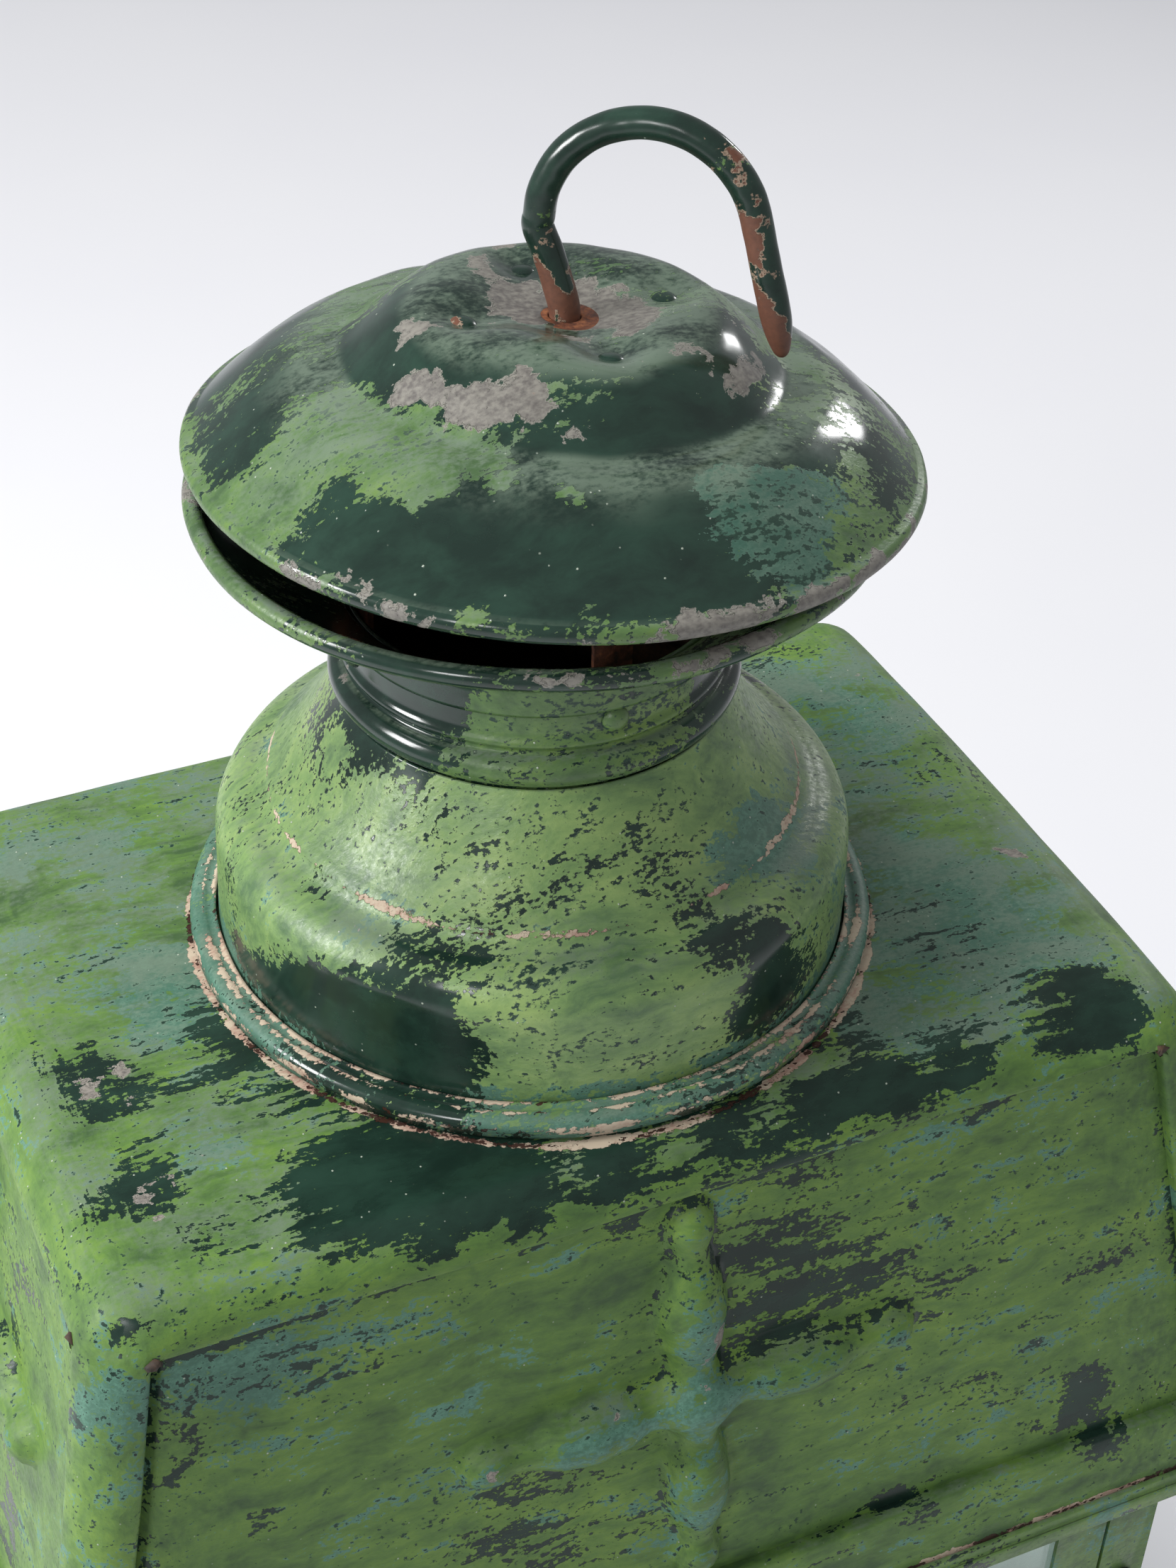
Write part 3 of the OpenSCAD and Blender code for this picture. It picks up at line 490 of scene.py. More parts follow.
wear = {
    "dark": [
        (-28, 3, 502, 15, 0.20), (-27, -50, 489, 20, 0.34), (3, -50, 493, 13, 0.34), (-46, -41, 485, 15, 0.30),
        (24, -21, 500, 12, 0.12), (29, -43, 492, 11, 0.26), (-2, 14, 501, 14, 0.20), (18, 20, 500, 14, 0.12),
        (-35, -19, 440, 15, 0.30), (-38, -9, 428, 13, 0.30), (-66, -13, 369, 15, 0.34), (-56, -37, 377, 16, 0.40),
        (-44, -50, 376, 11, 0.34), (-57, -16, 394, 7, 0.16), (10, -63, 391, 7, 0.20), (26, -62, 380, 9, 0.22),
        (-7, -62, 392, 7, 0.20), (3, -43, 415, 7, 0.17), (-70, -63, 360, 12, 0.26), (-52, -70, 360, 13, 0.34),
        (-33, -74, 360, 13, 0.36), (-12, -78, 359, 10, 0.32), (8, -80, 358, 9, 0.26), (27, -81, 357, 9, 0.26),
        (48, -81, 356, 9, 0.30), (66, -82, 356, 8, 0.30), (84, -80, 357, 8, 0.26), (100, -77, 358, 10, 0.36),
        (-101, -20, 360, 9, 0.18), (-112, -18, 360, 9, 0.20), (-102, 18, 360, 9, 0.18), (-99, -52, 360, 11, 0.18),
        (-90, -66, 360, 8, 0.16), (98, -98, 256, 9, 0.26), (106, -102, 240, 9, 0.28), (84, -94, 272, 7, 0.18),
        (54, -101, 242, 11, 0.26), (30, -100, 238, 8, 0.18), (-95, -90, 300, 7, 0.20), (-116, -80, 355, 5, 0.30),
        (0, -93, 268, 7, 0.14), (-60, -94, 262, 9, 0.16), (-107, -86, 320, 5, 0.16),
        (-84, -34, 360, 6, 0.12), (-106, -44, 360, 6, 0.12), (-60, -56, 360, 6, 0.10)],
    "bare": [
        (-24, -25, 501, 9, 0.28), (-31, -15, 501, 6, 0.22), (-13, -30, 501, 5, 0.24), (-4, -42, 498, 4, 0.24),
        (24, -20, 501, 13, 0.16), (0, 0, 501, 12, 0.12), (-22, 5, 501, 12, 0.12), (2, 20, 501, 12, 0.12),
        (35, -26, 500, 5, 0.40), (33, -24, 511, 7, 0.22), (24, -17, 535, 8, 0.20), (31, -22, 525, 6, 0.16),
        (4, -2, 501, 4, 0.40), (6, -3, 524, 6, 0.10),
        (-101, -20, 360, 8, 0.24), (-100, -53, 360, 9, 0.24), (-88, -40, 360, 7, 0.16), (110, 19, 360, 5, 0.26),
        (107, -27, 360, 4, 0.26), (-28, -35, 411, 5, 0.18), (-57, -16, 394, 6, 0.14), (110, 45, 360, 8, 0.16)],
    "turquoise": [
        (72, -20, 360, 26, 0.10), (96, -50, 360, 18, 0.08), (72, 40, 360, 26, 0.08), (-74, -6, 360, 20, 0.11),
        (-92, -40, 360, 16, 0.09), (-40, -66, 360, 12, 0.10), (50, -66, 360, 14, 0.10),
        (14, -55, 489, 11, 0.50), (24, -58, 484, 11, 0.45), (80, -46, 360, 28, 0.22), (93, 30, 360, 30, 0.16),
        (-80, 66, 360, 34, 0.10), (-82, 5, 360, 18, 0.18), (-95, -84, 335, 15, 0.26), (30, -43, 401, 9, 0.25),
        (44, -50, 388, 16, 0.16), (-62, -30, 364, 12, 0.14), (-120, -84, 335, 10, 0.16)],
}
wear["dark"] += [
    (-40, -20, 495, 9, -0.30), (-33, -34, 495, 8, -0.40), (-24, -41, 495, 5, -0.34), (-58, -14, 483, 9, -0.28),
    (-14, -50, 492, 4.5, -0.62), (-36, -55, 481, 6, -0.42), (36, -32, 493, 8, -0.28), (14, -55, 489, 9, -0.62),
    (24, -58, 484, 10, -0.55), (-21, -34, 438, 13, -0.40), (6, -38, 432, 14, -0.36), (-23, -62, 387, 14, -0.12),
    (40, -50, 480, 8, -0.30), (-14, -36, 444, 12, -0.30), (12, -36, 444, 12, -0.25),
    (-50, -18, 490, 9, -0.34), (-46, -6, 495, 9, -0.30), (-38, 14, 497, 10, -0.20), (50, -20, 484, 9, -0.22),
    (28, -60, 482, 8, -0.30), (-40, -30, 494, 7, -0.30)]


def paintWear(mesh, seam=None, lean=None):
    # stores at each vertex how far the paint leans towards bottle green, bare metal and turquoise
    # seam(place) is the strength of a cracked seam, and lean(place) adds to the three leanings
    count = len(mesh.vertices)
    place = np.empty(count * 3, np.float32)
    mesh.vertices.foreach_get("co", place)
    place = place.reshape(-1, 3) / mm
    ragged = place + [noise.noise_vector(Vector(p) / 13) * 7 + noise.noise_vector(Vector(p) / 5) * 2.5
                      for p in place.tolist()]
    coat = np.zeros((count, 4), np.float32)
    for channel, kind in enumerate(("dark", "bare", "turquoise")):
        for x, y, z, size, strength in wear[kind]:
            away = ((ragged - np.array((x, y, z), np.float32)) ** 2).sum(1)
            coat[:, channel] += strength * np.exp(-away / size ** 2)
    if seam:
        coat[:, 3] = [seam(Vector(p)) for p in place.tolist()]
    if lean:
        coat[:, :3] += [lean(Vector(p)) for p in place.tolist()]
    layer = mesh.color_attributes.new("coat", "FLOAT_COLOR", "POINT")
    layer.data.foreach_set("color", coat.ravel())


def arcLine(centreR, centreZ, radius, start, end, steps):
    # part of a circle as (radius, height) pairs, angles in degrees from the horizontal
    turns = [radians(start + (end - start) * i / steps) for i in range(steps + 1)]
    return [(centreR + radius * cos(a), centreZ + radius * sin(a)) for a in turns]


def denser(profile, gap):
    # adds points so that no step of an outline is longer than a gap
    line = [profile[0]]
    for (r0, z0), (r1, z1) in zip(profile, profile[1:]):
        parts = max(1, round(hypot(r1 - r0, z1 - z0) / gap))
        line += [(r0 + (r1 - r0) * k / parts, z0 + (z1 - z0) * k / parts) for k in range(1, parts + 1)]
    return line


def handMade(bm, amount, size, seed, keep=None):
    # lets the sheet swell and sink a little, as beaten work does
    for v in bm.verts:
        out = Vector((v.co.x, v.co.y, 0)).normalized()
        share = keep(v.co / mm) if keep else 1.0
        v.co += out * unevenness(v.co / mm, size, seed) * amount * mm * share
        v.co.z += unevenness(v.co / mm, size, seed + 9.3) * amount * 0.5 * mm * share


chimney = {
    "domeRadius": 67.2, "creaseRadius": 55.6, "creaseHeight": 37.2, "neckRadius": 38.4,
    "sheet": 1.1, "turnSteps": 220,
}


def makeDome():
    c = chimney
    cone = [(0.09, 0.07), (0.27, 0.20), (0.49, 0.39), (0.69, 0.62), (0.90, 0.87), (1.0, 1.0)]
    slope = [(c["creaseRadius"] - 15.7 * f, c["creaseHeight"] + 23.4 * g) for f, g in cone]
    slope = roundedLine(slope, 5)
    profile = denser([(67.2, 0.2), (67.2, 4), (67.0, 12), (66.8, 24)], 2.0)
    profile += arcLine(56.4, 24, 10.4, 8, 76, 14)
    profile += [(57.2, 35.4), (56.2, 36.3), (55.6, 37.3), (55.1, 38.2)] + slope[1:]
    profile = denser(profile, 1.6)
    bm = spinProfile(profile, c["turnSteps"])
    faceOutwards(bm, lambda p: Vector((p.x, p.y, 0.02)))
    handMade(bm, 0.55, 38, 1.7, lambda p: smooth(2, 12, p.z) * smooth(61, 52, p.z))
    bmesh.ops.translate(bm, verts=bm.verts, vec=(0, 0, hoodTop))
    seam = lambda p: 0.85 * hump(p.z - 397.4, 1.5) + 0.85 * hump(p.z - 364.8, 1.3)
    foot = lambda p: (-0.10 * smooth(370, 365, p.z), 0.0, 0.20 * smooth(371, 366, p.z) + 0.10 * hump(p.z - 398, 3))
    piece = finishPiece("domeSheet", bm, domePaint, "housing", ["chimney_dome"], seam, foot)
    piece.data.materials.append(sootySheet)
    addSolidify(piece, c["sheet"] * mm).material_offset = 1


def makeBaseRing():
    profile = [(67.7, 0.1), (73.0, 0.1)] + arcLine(70.9, 2.1, 2.4, -35, 75, 8)
    profile += [(70.4, 4.7), (69.2, 4.3), (68.3, 4.7), (67.7, 4.9)]
    bm = spinProfile(denser(profile, 0.8), 240, closed=True)
    handMade(bm, 0.35, 16, 4.1)
    bmesh.ops.translate(bm, verts=bm.verts, vec=(0, 0, hoodTop))
    seam = lambda p: max(0.9 * hump(p.z - 364.9, 0.8), 0.85 * hump(hypot(p.x, p.y) - 73.4, 0.7))
    finishPiece("solderedBaseRing", bm, domePaint, "housing", ["base_ring"], seam,
                lambda p: (-0.12, 0.0, 0.22))


def makeNeck():
    r = chimney["neckRadius"]
    profile = [(r, 56), (r, 61.1)] + arcLine(r, 64.6, 3.5, -90, 90, 14) + [
        (r + 0.1, 69.2), (r + 0.7, 69.8), (r + 1.15, 70.5), (r + 0.7, 71.2), (r + 0.1, 71.9), (r, 84)]
    bm = spinProfile(denser(profile, 1.4), 160)
    faceOutwards(bm, lambda p: Vector((p.x, p.y, 0)))
    handMade(bm, 0.25, 26, 2.9)
    bmesh.ops.translate(bm, verts=bm.verts, vec=(0, 0, hoodTop))
    piece = finishPiece("neckTube", bm, chimneyPaint, "housing", ["neck_tube"],
                        lambda p: 0.5 * hump(p.z - 421, 1.2))
    piece.data.materials.append(sootySheet)
    addSolidify(piece, chimney["sheet"] * mm).material_offset = 1


def makeSaucer():
    foot = chimney["neckRadius"] + 1.3
    profile = denser(roundedLine([(foot, 77.5), (foot, 81), (foot + 0.6, 84.6), (foot + 4.4, 87.8),
                                  (foot + 12, 92.6), (62, 99.6), (65.3, 102.6)], 4), 1.6)
    profile += arcLine(66.0, 104.8, 2.1, -70, 120, 10)
    bm = spinProfile(profile, chimney["turnSteps"])
    faceOutwards(bm, lambda p: Vector((p.x, p.y, -0.05)))
    handMade(bm, 0.5, 30, 6.4, lambda p: smooth(86, 96, p.z))
    bmesh.ops.translate(bm, verts=bm.verts, vec=(0, 0, hoodTop))
    rubbed = lambda p: (-0.16 * smooth(462, 465, p.z), 0.13 * smooth(463, 466, p.z), 0.0)
    piece = finishPiece("windSaucer", bm, chimneyPaint, "housing", ["wind_saucer"], lean=rubbed)
    addSolidify(piece, 0.9 * mm)
    wire = spinProfile(arcLine(66.0, 104.8, 1.15, 0, 345, 15), 160, closed=True)
    bmesh.ops.translate(wire, verts=wire.verts, vec=(0, 0, hoodTop))
    finishPiece("saucerRimWire", wire, rustedIron, "housing", ["saucer_rim_wire"])


for make in (makeDome, makeBaseRing, makeNeck, makeSaucer):
    make()
print("chimney made")


cap = {
    "centre": (3.2, -1.2, 112.4), "tilt": 4.1, "leanTowards": 33.7,
    "rimRadius": 68.8, "crown": 30.6, "crownDip": 3.4,
    "rivetRadius": 20.4, "dentDepth": 2.6, "dentSize": 6.5, "holeRadius": 4.5,
}
lean = radians(cap["leanTowards"])
capPlace = (Matrix.Translation(Vector(cap["centre"]) * mm + Vector((0, 0, hoodTop)))
            @ Matrix.Rotation(radians(cap["tilt"]), 4, Vector((-sin(lean), cos(lean), 0))))
rivetSpots = [Vector((cap["rivetRadius"] * cos(a), cap["rivetRadius"] * sin(a), 0))
              for a in (0, pi / 2, pi, 3 * pi / 2)]


def crownDents(p):
    # how far the crown is beaten in at a place of the cap's own frame, in millimetres
    sink = 0.0
    for i, spot in enumerate(rivetSpots):
        away = hypot(p.x - spot.x, p.y - spot.y)
        sink += (cap["dentDepth"] + 0.5 * (i % 2)) * hump(away, cap["dentSize"])
    return sink


def makeCap():
    rim = cap["rimRadius"]
    outline = [(6, 27.2), (10.5, 28.2), (15, 29.7), (19.5, 30.8), (23.5, 30.9), (28, 30.2), (32, 28.1),
               (36, 24.8), (39.6, 21.4), (42.6, 19.4), (46, 18.8), (51, 17.3), (57.6, 13.2), (62.8, 8.8), (66.6, 5.2),
               (68.9, 2.9)]
    profile = [(cap["holeRadius"], 27.2)] + denser(roundedLine(outline, 4), 1.5)
    profile += arcLine(rim, 0.6, 2.2, 58, -150, 14)
    bm = spinProfile(profile, 240)
    faceOutwards(bm, lambda p: Vector((p.x, p.y, 0.02)))
    for v in bm.verts:
        p = v.co / mm
        reach = hypot(p.x, p.y)
        onTop = smooth(64, 52, reach)
        p.z -= crownDents(p) * onTop
        p.z += onTop * (0.5 * unevenness(p, 17, 3.3) + 0.3 * unevenness(p, 8, 7.7)) * smooth(4, 10, reach)
        swell = 0.55 * unevenness(p, 42, 5.1) + 0.15 * unevenness(p, 12, 1.1)
        p += Vector((p.x, p.y, 0)).normalized() * swell
        p.z += 0.5 * unevenness(p, 46, 8.8)
        v.co = p * mm
    bmesh.ops.transform(bm, matrix=capPlace, verts=bm.verts)
    away = capPlace.inverted()

    def rimWear(p):
        # the rolled rim and the beaten crown are rubbed back to moss green and bare metal
        q = away @ (p * mm) / mm
        edge = smooth(5.0, 1.2, q.z)
        top = smooth(22, 14, hypot(q.x, q.y))
        return (-0.20 * edge - 0.03 * top, 0.16 * edge + 0.15 * top, 0.06 * edge)

    piece = finishPiece("capSheet", bm, chimneyPaint, "housing", ["cap"], lean=rimWear)
    piece.data.materials.append(sootySheet)
    addSolidify(piece, 0.9 * mm).material_offset = 1
    wire = spinProfile(arcLine(rim, 0.6, 1.2, 0, 345, 15), 180, closed=True)
    bmesh.ops.transform(wire, matrix=capPlace, verts=wire.verts)
    finishPiece("capRimWire", wire, rustedIron, "housing", ["cap_rim_wire"])


def rivetHead(radius, height):
    profile = [(radius, -1.0), (radius, 0.1), (radius * 0.93, height * 0.42), (radius * 0.62, height * 0.86),
               (radius * 0.25, height), (0, height)]
    return spinProfile(roundedLine(profile, 2), 20)


def joinInto(target, extra, matrix):
    # adds a small mesh to a bigger one at a place
    bmesh.ops.transform(extra, matrix=matrix, verts=extra.verts)
    small = bpy.data.meshes.new("part")
    extra.to_mesh(small)
    extra.free()
    target.from_mesh(small)
    bpy.data.meshes.remove(small)


def makeRivets():
    onCap = bmesh.new()
    for i, spot in enumerate(rivetSpots):
        ground = 30.4 - crownDents(spot) + 0.2
        tip = Matrix.Rotation(radians((8, -6, 5, -9)[i]), 4, "X")
        joinInto(onCap, rivetHead(2.7, 1.3), capPlace @ Matrix.Translation((spot + Vector((0, 0, ground))) * mm) @ tip)
    finishPiece("capRivets", onCap, hookPaint, "housing", ["cap_rivets"])
    onNeck = bmesh.new()
    for side in range(4):
        turn = Matrix.Rotation(radians(90 * side - 90), 4, "Z")
        spot = Matrix.Translation((chimney["neckRadius"] * mm, 0, hoodTop + 74.6 * mm))
        joinInto(onNeck, rivetHead(2.8, 1.9), turn @ spot @ Matrix.Rotation(radians(90), 4, "Y"))
    finishPiece("neckRivets", onNeck, chimneyPaint, "housing", ["neck_rivets"])


makeCap()
makeRivets()
print("cap made")


hook = {
    "turn": -38, "rod": 3.0, "foot": 20.0, "bend": 30, "archMiddle": (14.3, 46.0), "archRadius": 20.3,
    "tip": (41.3, 26.1), "legLean": 15, "point": 10, "rings": 150,
}


def makeHook():
    h = hook
    u0, z0 = h["archMiddle"]
    line = [(0, h["foot"]), (0, h["bend"] - 4), (-0.4, h["bend"]), (-3.6, 38.5), (u0 - h["archRadius"] - 0.1, z0 - 2)]
    for k in range(13):
        a = radians(180 - (180 - h["legLean"]) * k / 12)
        line.append((u0 + h["archRadius"] * cos(a), z0 + h["archRadius"] * sin(a)))
    line += [(36.6, 42.6), (39.4, 33.2), h["tip"]]
    line = roundedLine(line, 8)
    path = [Vector((u, 0.0, z)) for u, z in line]
    path = [p + Vector((0, 0.35 * unevenness(p, 14, 2.2), 0)) for p in path]
    left = [0.0]
    for a, b in zip(reversed(path), list(reversed(path))[1:]):
        left.append(left[-1] + (a - b).length)
    left.reverse()
    radii = []
    for p, toTip in zip(path, left):
        r = h["rod"] * (1 + 0.035 * unevenness(p, 6, 4.4))
        if toTip < h["point"]:
            r *= 0.14 + 0.86 * sqrt(max(0.0, 1 - (1 - toTip / h["point"]) ** 1.7))
        radii.append(r * mm)
    bm = sweepRod([p * mm for p in path], radii, 20)
    for v in bm.verts:
        v.co += Vector((unevenness(v.co / mm, 2.6, 1.0), unevenness(v.co / mm, 2.6, 5.0), 0)) * 0.09 * mm
    bmesh.ops.transform(bm, matrix=capPlace @ Matrix.Rotation(radians(h["turn"]), 4, "Z"), verts=bm.verts)
    addSubdivision(finishPiece("hangingHook", bm, hookPaint, "hook", ["hook"]))


makeHook()
print("hook made")


# ---- hood: a flared sheet box with a window pressed out of each wall ----

hood = {
    "sideSlope": 0.19, "frontSlope": 0.16, "corner": 10, "shoulder": 9, "border": 12,
    "windowTop": 12.4, "windowFoot": 19, "flange": 6.5, "cut": 5.0, "sheet": 1.1, "mouth": 59,
    # dents: place, size, depth and the way the sheet is pushed, all in millimetres
    "dents": [((96, -78, 357), 8, 3.0, (-0.1, 0.6, -0.8)), ((84, -80, 356), 6, 1.6, (0, 0.7, -0.7)),
              ((-116, -80, 354), 5, 1.4, (0.6, 0.6, -0.4)), ((40, 70, 360), 14, 1.2, (0, 0, -1)),
              ((-70, 30, 360), 20, 0.8, (0, 0, -1)), ((-30, -78, 358), 16, 0.8, (0, 0.4, -0.9)),
              ((138, 20, 262), 12, 1.6, (-1, 0, 0))],
}
eavesHalf = (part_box("hood_shell")[1].x / mm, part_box("hood_shell")[1].y / mm)
hoodHeight = (hoodTop - eavesZ) / mm
topHalf = (eavesHalf[0] - hood["sideSlope"] * hoodHeight, eavesHalf[1] - hood["frontSlope"] * hoodHeight)


def wallPlace(side):
    # frame of a hood wall: X across it, Y up its slope, Z out of it
    slope = hood["frontSlope"] if side % 2 == 0 else hood["sideSlope"]
    half = topHalf[1] if side % 2 == 0 else topHalf[0]
    tilt = pi / 2 - atan2(slope, 1)
    return (Matrix.Rotation(radians(90 * side), 4, "Z") @ Matrix.Translation((0, -half * mm, hoodTop))
            @ Matrix.Rotation(tilt, 4, "X"))


def windowHalf(side, drop):
    half, slope = (topHalf[0], hood["sideSlope"]) if side % 2 == 0 else (topHalf[1], hood["frontSlope"])
    return half + slope * drop - hood["border"]


def slopeLength(side, drop):
    slope = hood["frontSlope"] if side % 2 == 0 else hood["sideSlope"]
    return drop * sqrt(1 + slope * slope)


def hoodWobble(p):
    # beaten, bent and leaned-on sheet: small waves everywhere and the dents above
    free = smooth(76, 96, hypot(p.x, p.y)) * smooth(223, 240, p.z)
    shift = Vector((0, 0, 0))
    onTop = smooth(346, 356, p.z)
    shift.z -= onTop * (1.6 * abs(p.x / topHalf[0]) ** 4 + 1.9 * abs(p.y / topHalf[1]) ** 4)
    shift.z += onTop * free * (0.6 * unevenness(p, 42, 3.0) + 0.22 * unevenness(p, 15, 8.0))
    sides = 1 - onTop
    shift.x += sides * free * 0.8 * unevenness(p, 48, 5.5)
    shift.y += sides * free * (0.7 * unevenness(p, 52, 2.5) + 0.15 * unevenness(p, 14, 6.1))
    for spot, size, depth, way in hood["dents"]:
        away = (p - Vector(spot)).length
        if away < 3 * size:
            shift += Vector(way) * depth * hump(away, size)
    return shift


def makeHoodShell():
    h = hood
    bm = bmesh.new()
    bmesh.ops.create_cube(bm, size=2)
    for v in bm.verts:
        half, z = (topHalf, hoodTop) if v.co.z > 0 else (eavesHalf, eavesZ)
        v.co = Vector((v.co.x * half[0] * mm, v.co.y * half[1] * mm, z))
    bmesh.ops.delete(bm, geom=[f for f in bm.faces if f.normal.z < -0.9], context="FACES")
    upright = [e for e in bm.edges if abs(e.verts[0].co.z - e.verts[1].co.z) > 0.05]
    bmesh.ops.bevel(bm, geom=upright, offset=h["corner"] * mm, offset_type="OFFSET", affect="EDGES",
                    segments=6, profile=0.5, material=-1)
    rim = [e for e in bm.edges if all(v.co.z > hoodTop - 1e-5 for v in e.verts) and len(e.link_faces) == 2
           and min(f.normal.z for f in e.link_faces) < 0.5]
    bmesh.ops.bevel(bm, geom=rim, offset=h["shoulder"] * mm, offset_type="OFFSET", affect="EDGES",
                    segments=6, profile=0.5, material=-1)
    for side in range(4):
        out = Matrix.Rotation(radians(90 * side), 3, "Z") @ Vector((0, -1, 0))
        wall = max((f for f in bm.faces if f.normal.dot(out) > 0.9), key=lambda f: f.calc_area())
        bmesh.ops.inset_individual(bm, faces=[wall], thickness=2 * mm, use_even_offset=True)
        place = wallPlace(side)
        middle = place.inverted() @ wall.calc_center_median()
        foot = hoodHeight - h["windowFoot"]
        for v in wall.verts:
            local = place.inverted() @ v.co
            drop = h["windowTop"] if local.y > middle.y else foot
            across = windowHalf(side, drop) * (1 if local.x > 0 else -1)
            v.co = place @ (Vector((across, -slopeLength(side, drop), 0)) * mm)
        rounded = bmesh.ops.bevel(bm, geom=list(wall.verts), offset=2.5 * mm, offset_type="OFFSET",
                                  affect="VERTICES", segments=3, profile=0.5, material=-1)
        wall = max((f for f in bm.faces if f.normal.dot(out) > 0.9 and len(f.verts) > 8),
                   key=lambda f: f.calc_area())
        border = list(wall.edges)
        pushed = bmesh.ops.extrude_face_region(bm, geom=[wall])
        inner = [g for g in pushed["geom"] if isinstance(g, bmesh.types.BMVert)]
        bmesh.ops.translate(bm, verts=inner, vec=place.to_3x3() @ Vector((0, 0, -h["flange"] * mm)))
        flat = [g for g in pushed["geom"] if isinstance(g, bmesh.types.BMFace)]
        stale = [f for f in bm.faces if f == wall] if wall.is_valid else []
        bmesh.ops.delete(bm, geom=list({*flat, *stale}), context="FACES")
        border = [e for e in border if e.is_valid]
        bmesh.ops.bevel(bm, geom=border, offset=1.3 * mm, offset_type="OFFSET", affect="EDGES",
                        segments=3, profile=0.5, material=-1)
    for axis, reach, start in ((0, eavesHalf[0], -eavesHalf[0]), (1, eavesHalf[1], -eavesHalf[1]),
                               (2, hoodTop / mm, eavesZ / mm)):
        way = Vector([1 if i == axis else 0 for i in range(3)])
        at = start + h["cut"]
        while at < reach:
            geom = bm.verts[:] + bm.edges[:] + bm.faces[:]
            bmesh.ops.bisect_plane(bm, geom=geom, dist=1e-6, plane_co=way * at * mm, plane_no=way)
            at += h["cut"]
    mouth = h["mouth"]  # the opening under the dome
    for v in bm.verts:
        reach = hypot(v.co.x, v.co.y) / mm
        if v.co.z > hoodTop - 1e-5 and abs(reach - mouth) < 0.6 * h["cut"]:
            v.co.x *= mouth / reach
            v.co.y *= mouth / reach
    covered = [f for f in bm.faces if all(
        v.co.z > hoodTop - 1e-5 and hypot(v.co.x, v.co.y) < (mouth + 0.1) * mm for v in f.verts)]
    bmesh.ops.delete(bm, geom=covered, context="FACES")
    for v in bm.verts:
        v.co += hoodWobble(v.co / mm) * mm
    faceOutwards(bm, lambda p: Vector((p.x, p.y, 0.05)))
    piece = finishPiece("hoodSheet", bm, hoodPaint, "housing", ["hood_shell"])
    piece.data.materials.append(sootySheet)
    addSolidify(piece, h["sheet"] * mm, even=False).material_offset = 1


# the cross is four baluster arms: boss, neck, bulge, neck and round knob, as (distance, radius)
cross = {
    "arm": [(0, 8.6), (3, 8.2), (9, 5.8), (11, 5.6), (17, 7.3), (24, 8.1), (31, 7.2), (38, 5.0), (41, 4.6),
            (45, 5.7), (48, 5.6), (51.5, 4.0), (53, 0.8)],
    "acrossReach": 53, "upReach": 51, "sink": 1.0, "soft": 0.8, "swell": 1.15,
}
panel = {"set": 3.2, "lap": 2.6, "grid": 1.5, "sheet": 1.0}


def softMax(a, b, k):
    h = clamp(0.5 + 0.5 * (a - b) / k)
    return b + (a - b) * h + k * h * (1 - h)


def armRadius(s, reach):
    s = s * cross["acrossReach"] / reach
    for (s0, r0), (s1, r1) in zip(cross["arm"], cross["arm"][1:]):
        if s <= s1:
            t = smooth(s0, s1, s)
            return r0 + (r1 - r0) * (0.5 * t + 0.5 * (s - s0) / (s1 - s0))
    return 0.8


def barHeight(along, off, reach):
    beyond = max(0.0, abs(along) - reach + 0.8)
    r = armRadius(min(abs(along), reach), reach)
    off = hypot(off, beyond)
    if off < r:
        return cross["swell"] * (sqrt(r * r - off * off) - cross["sink"])
    return -cross["sink"] - 1.4 * (off - r)


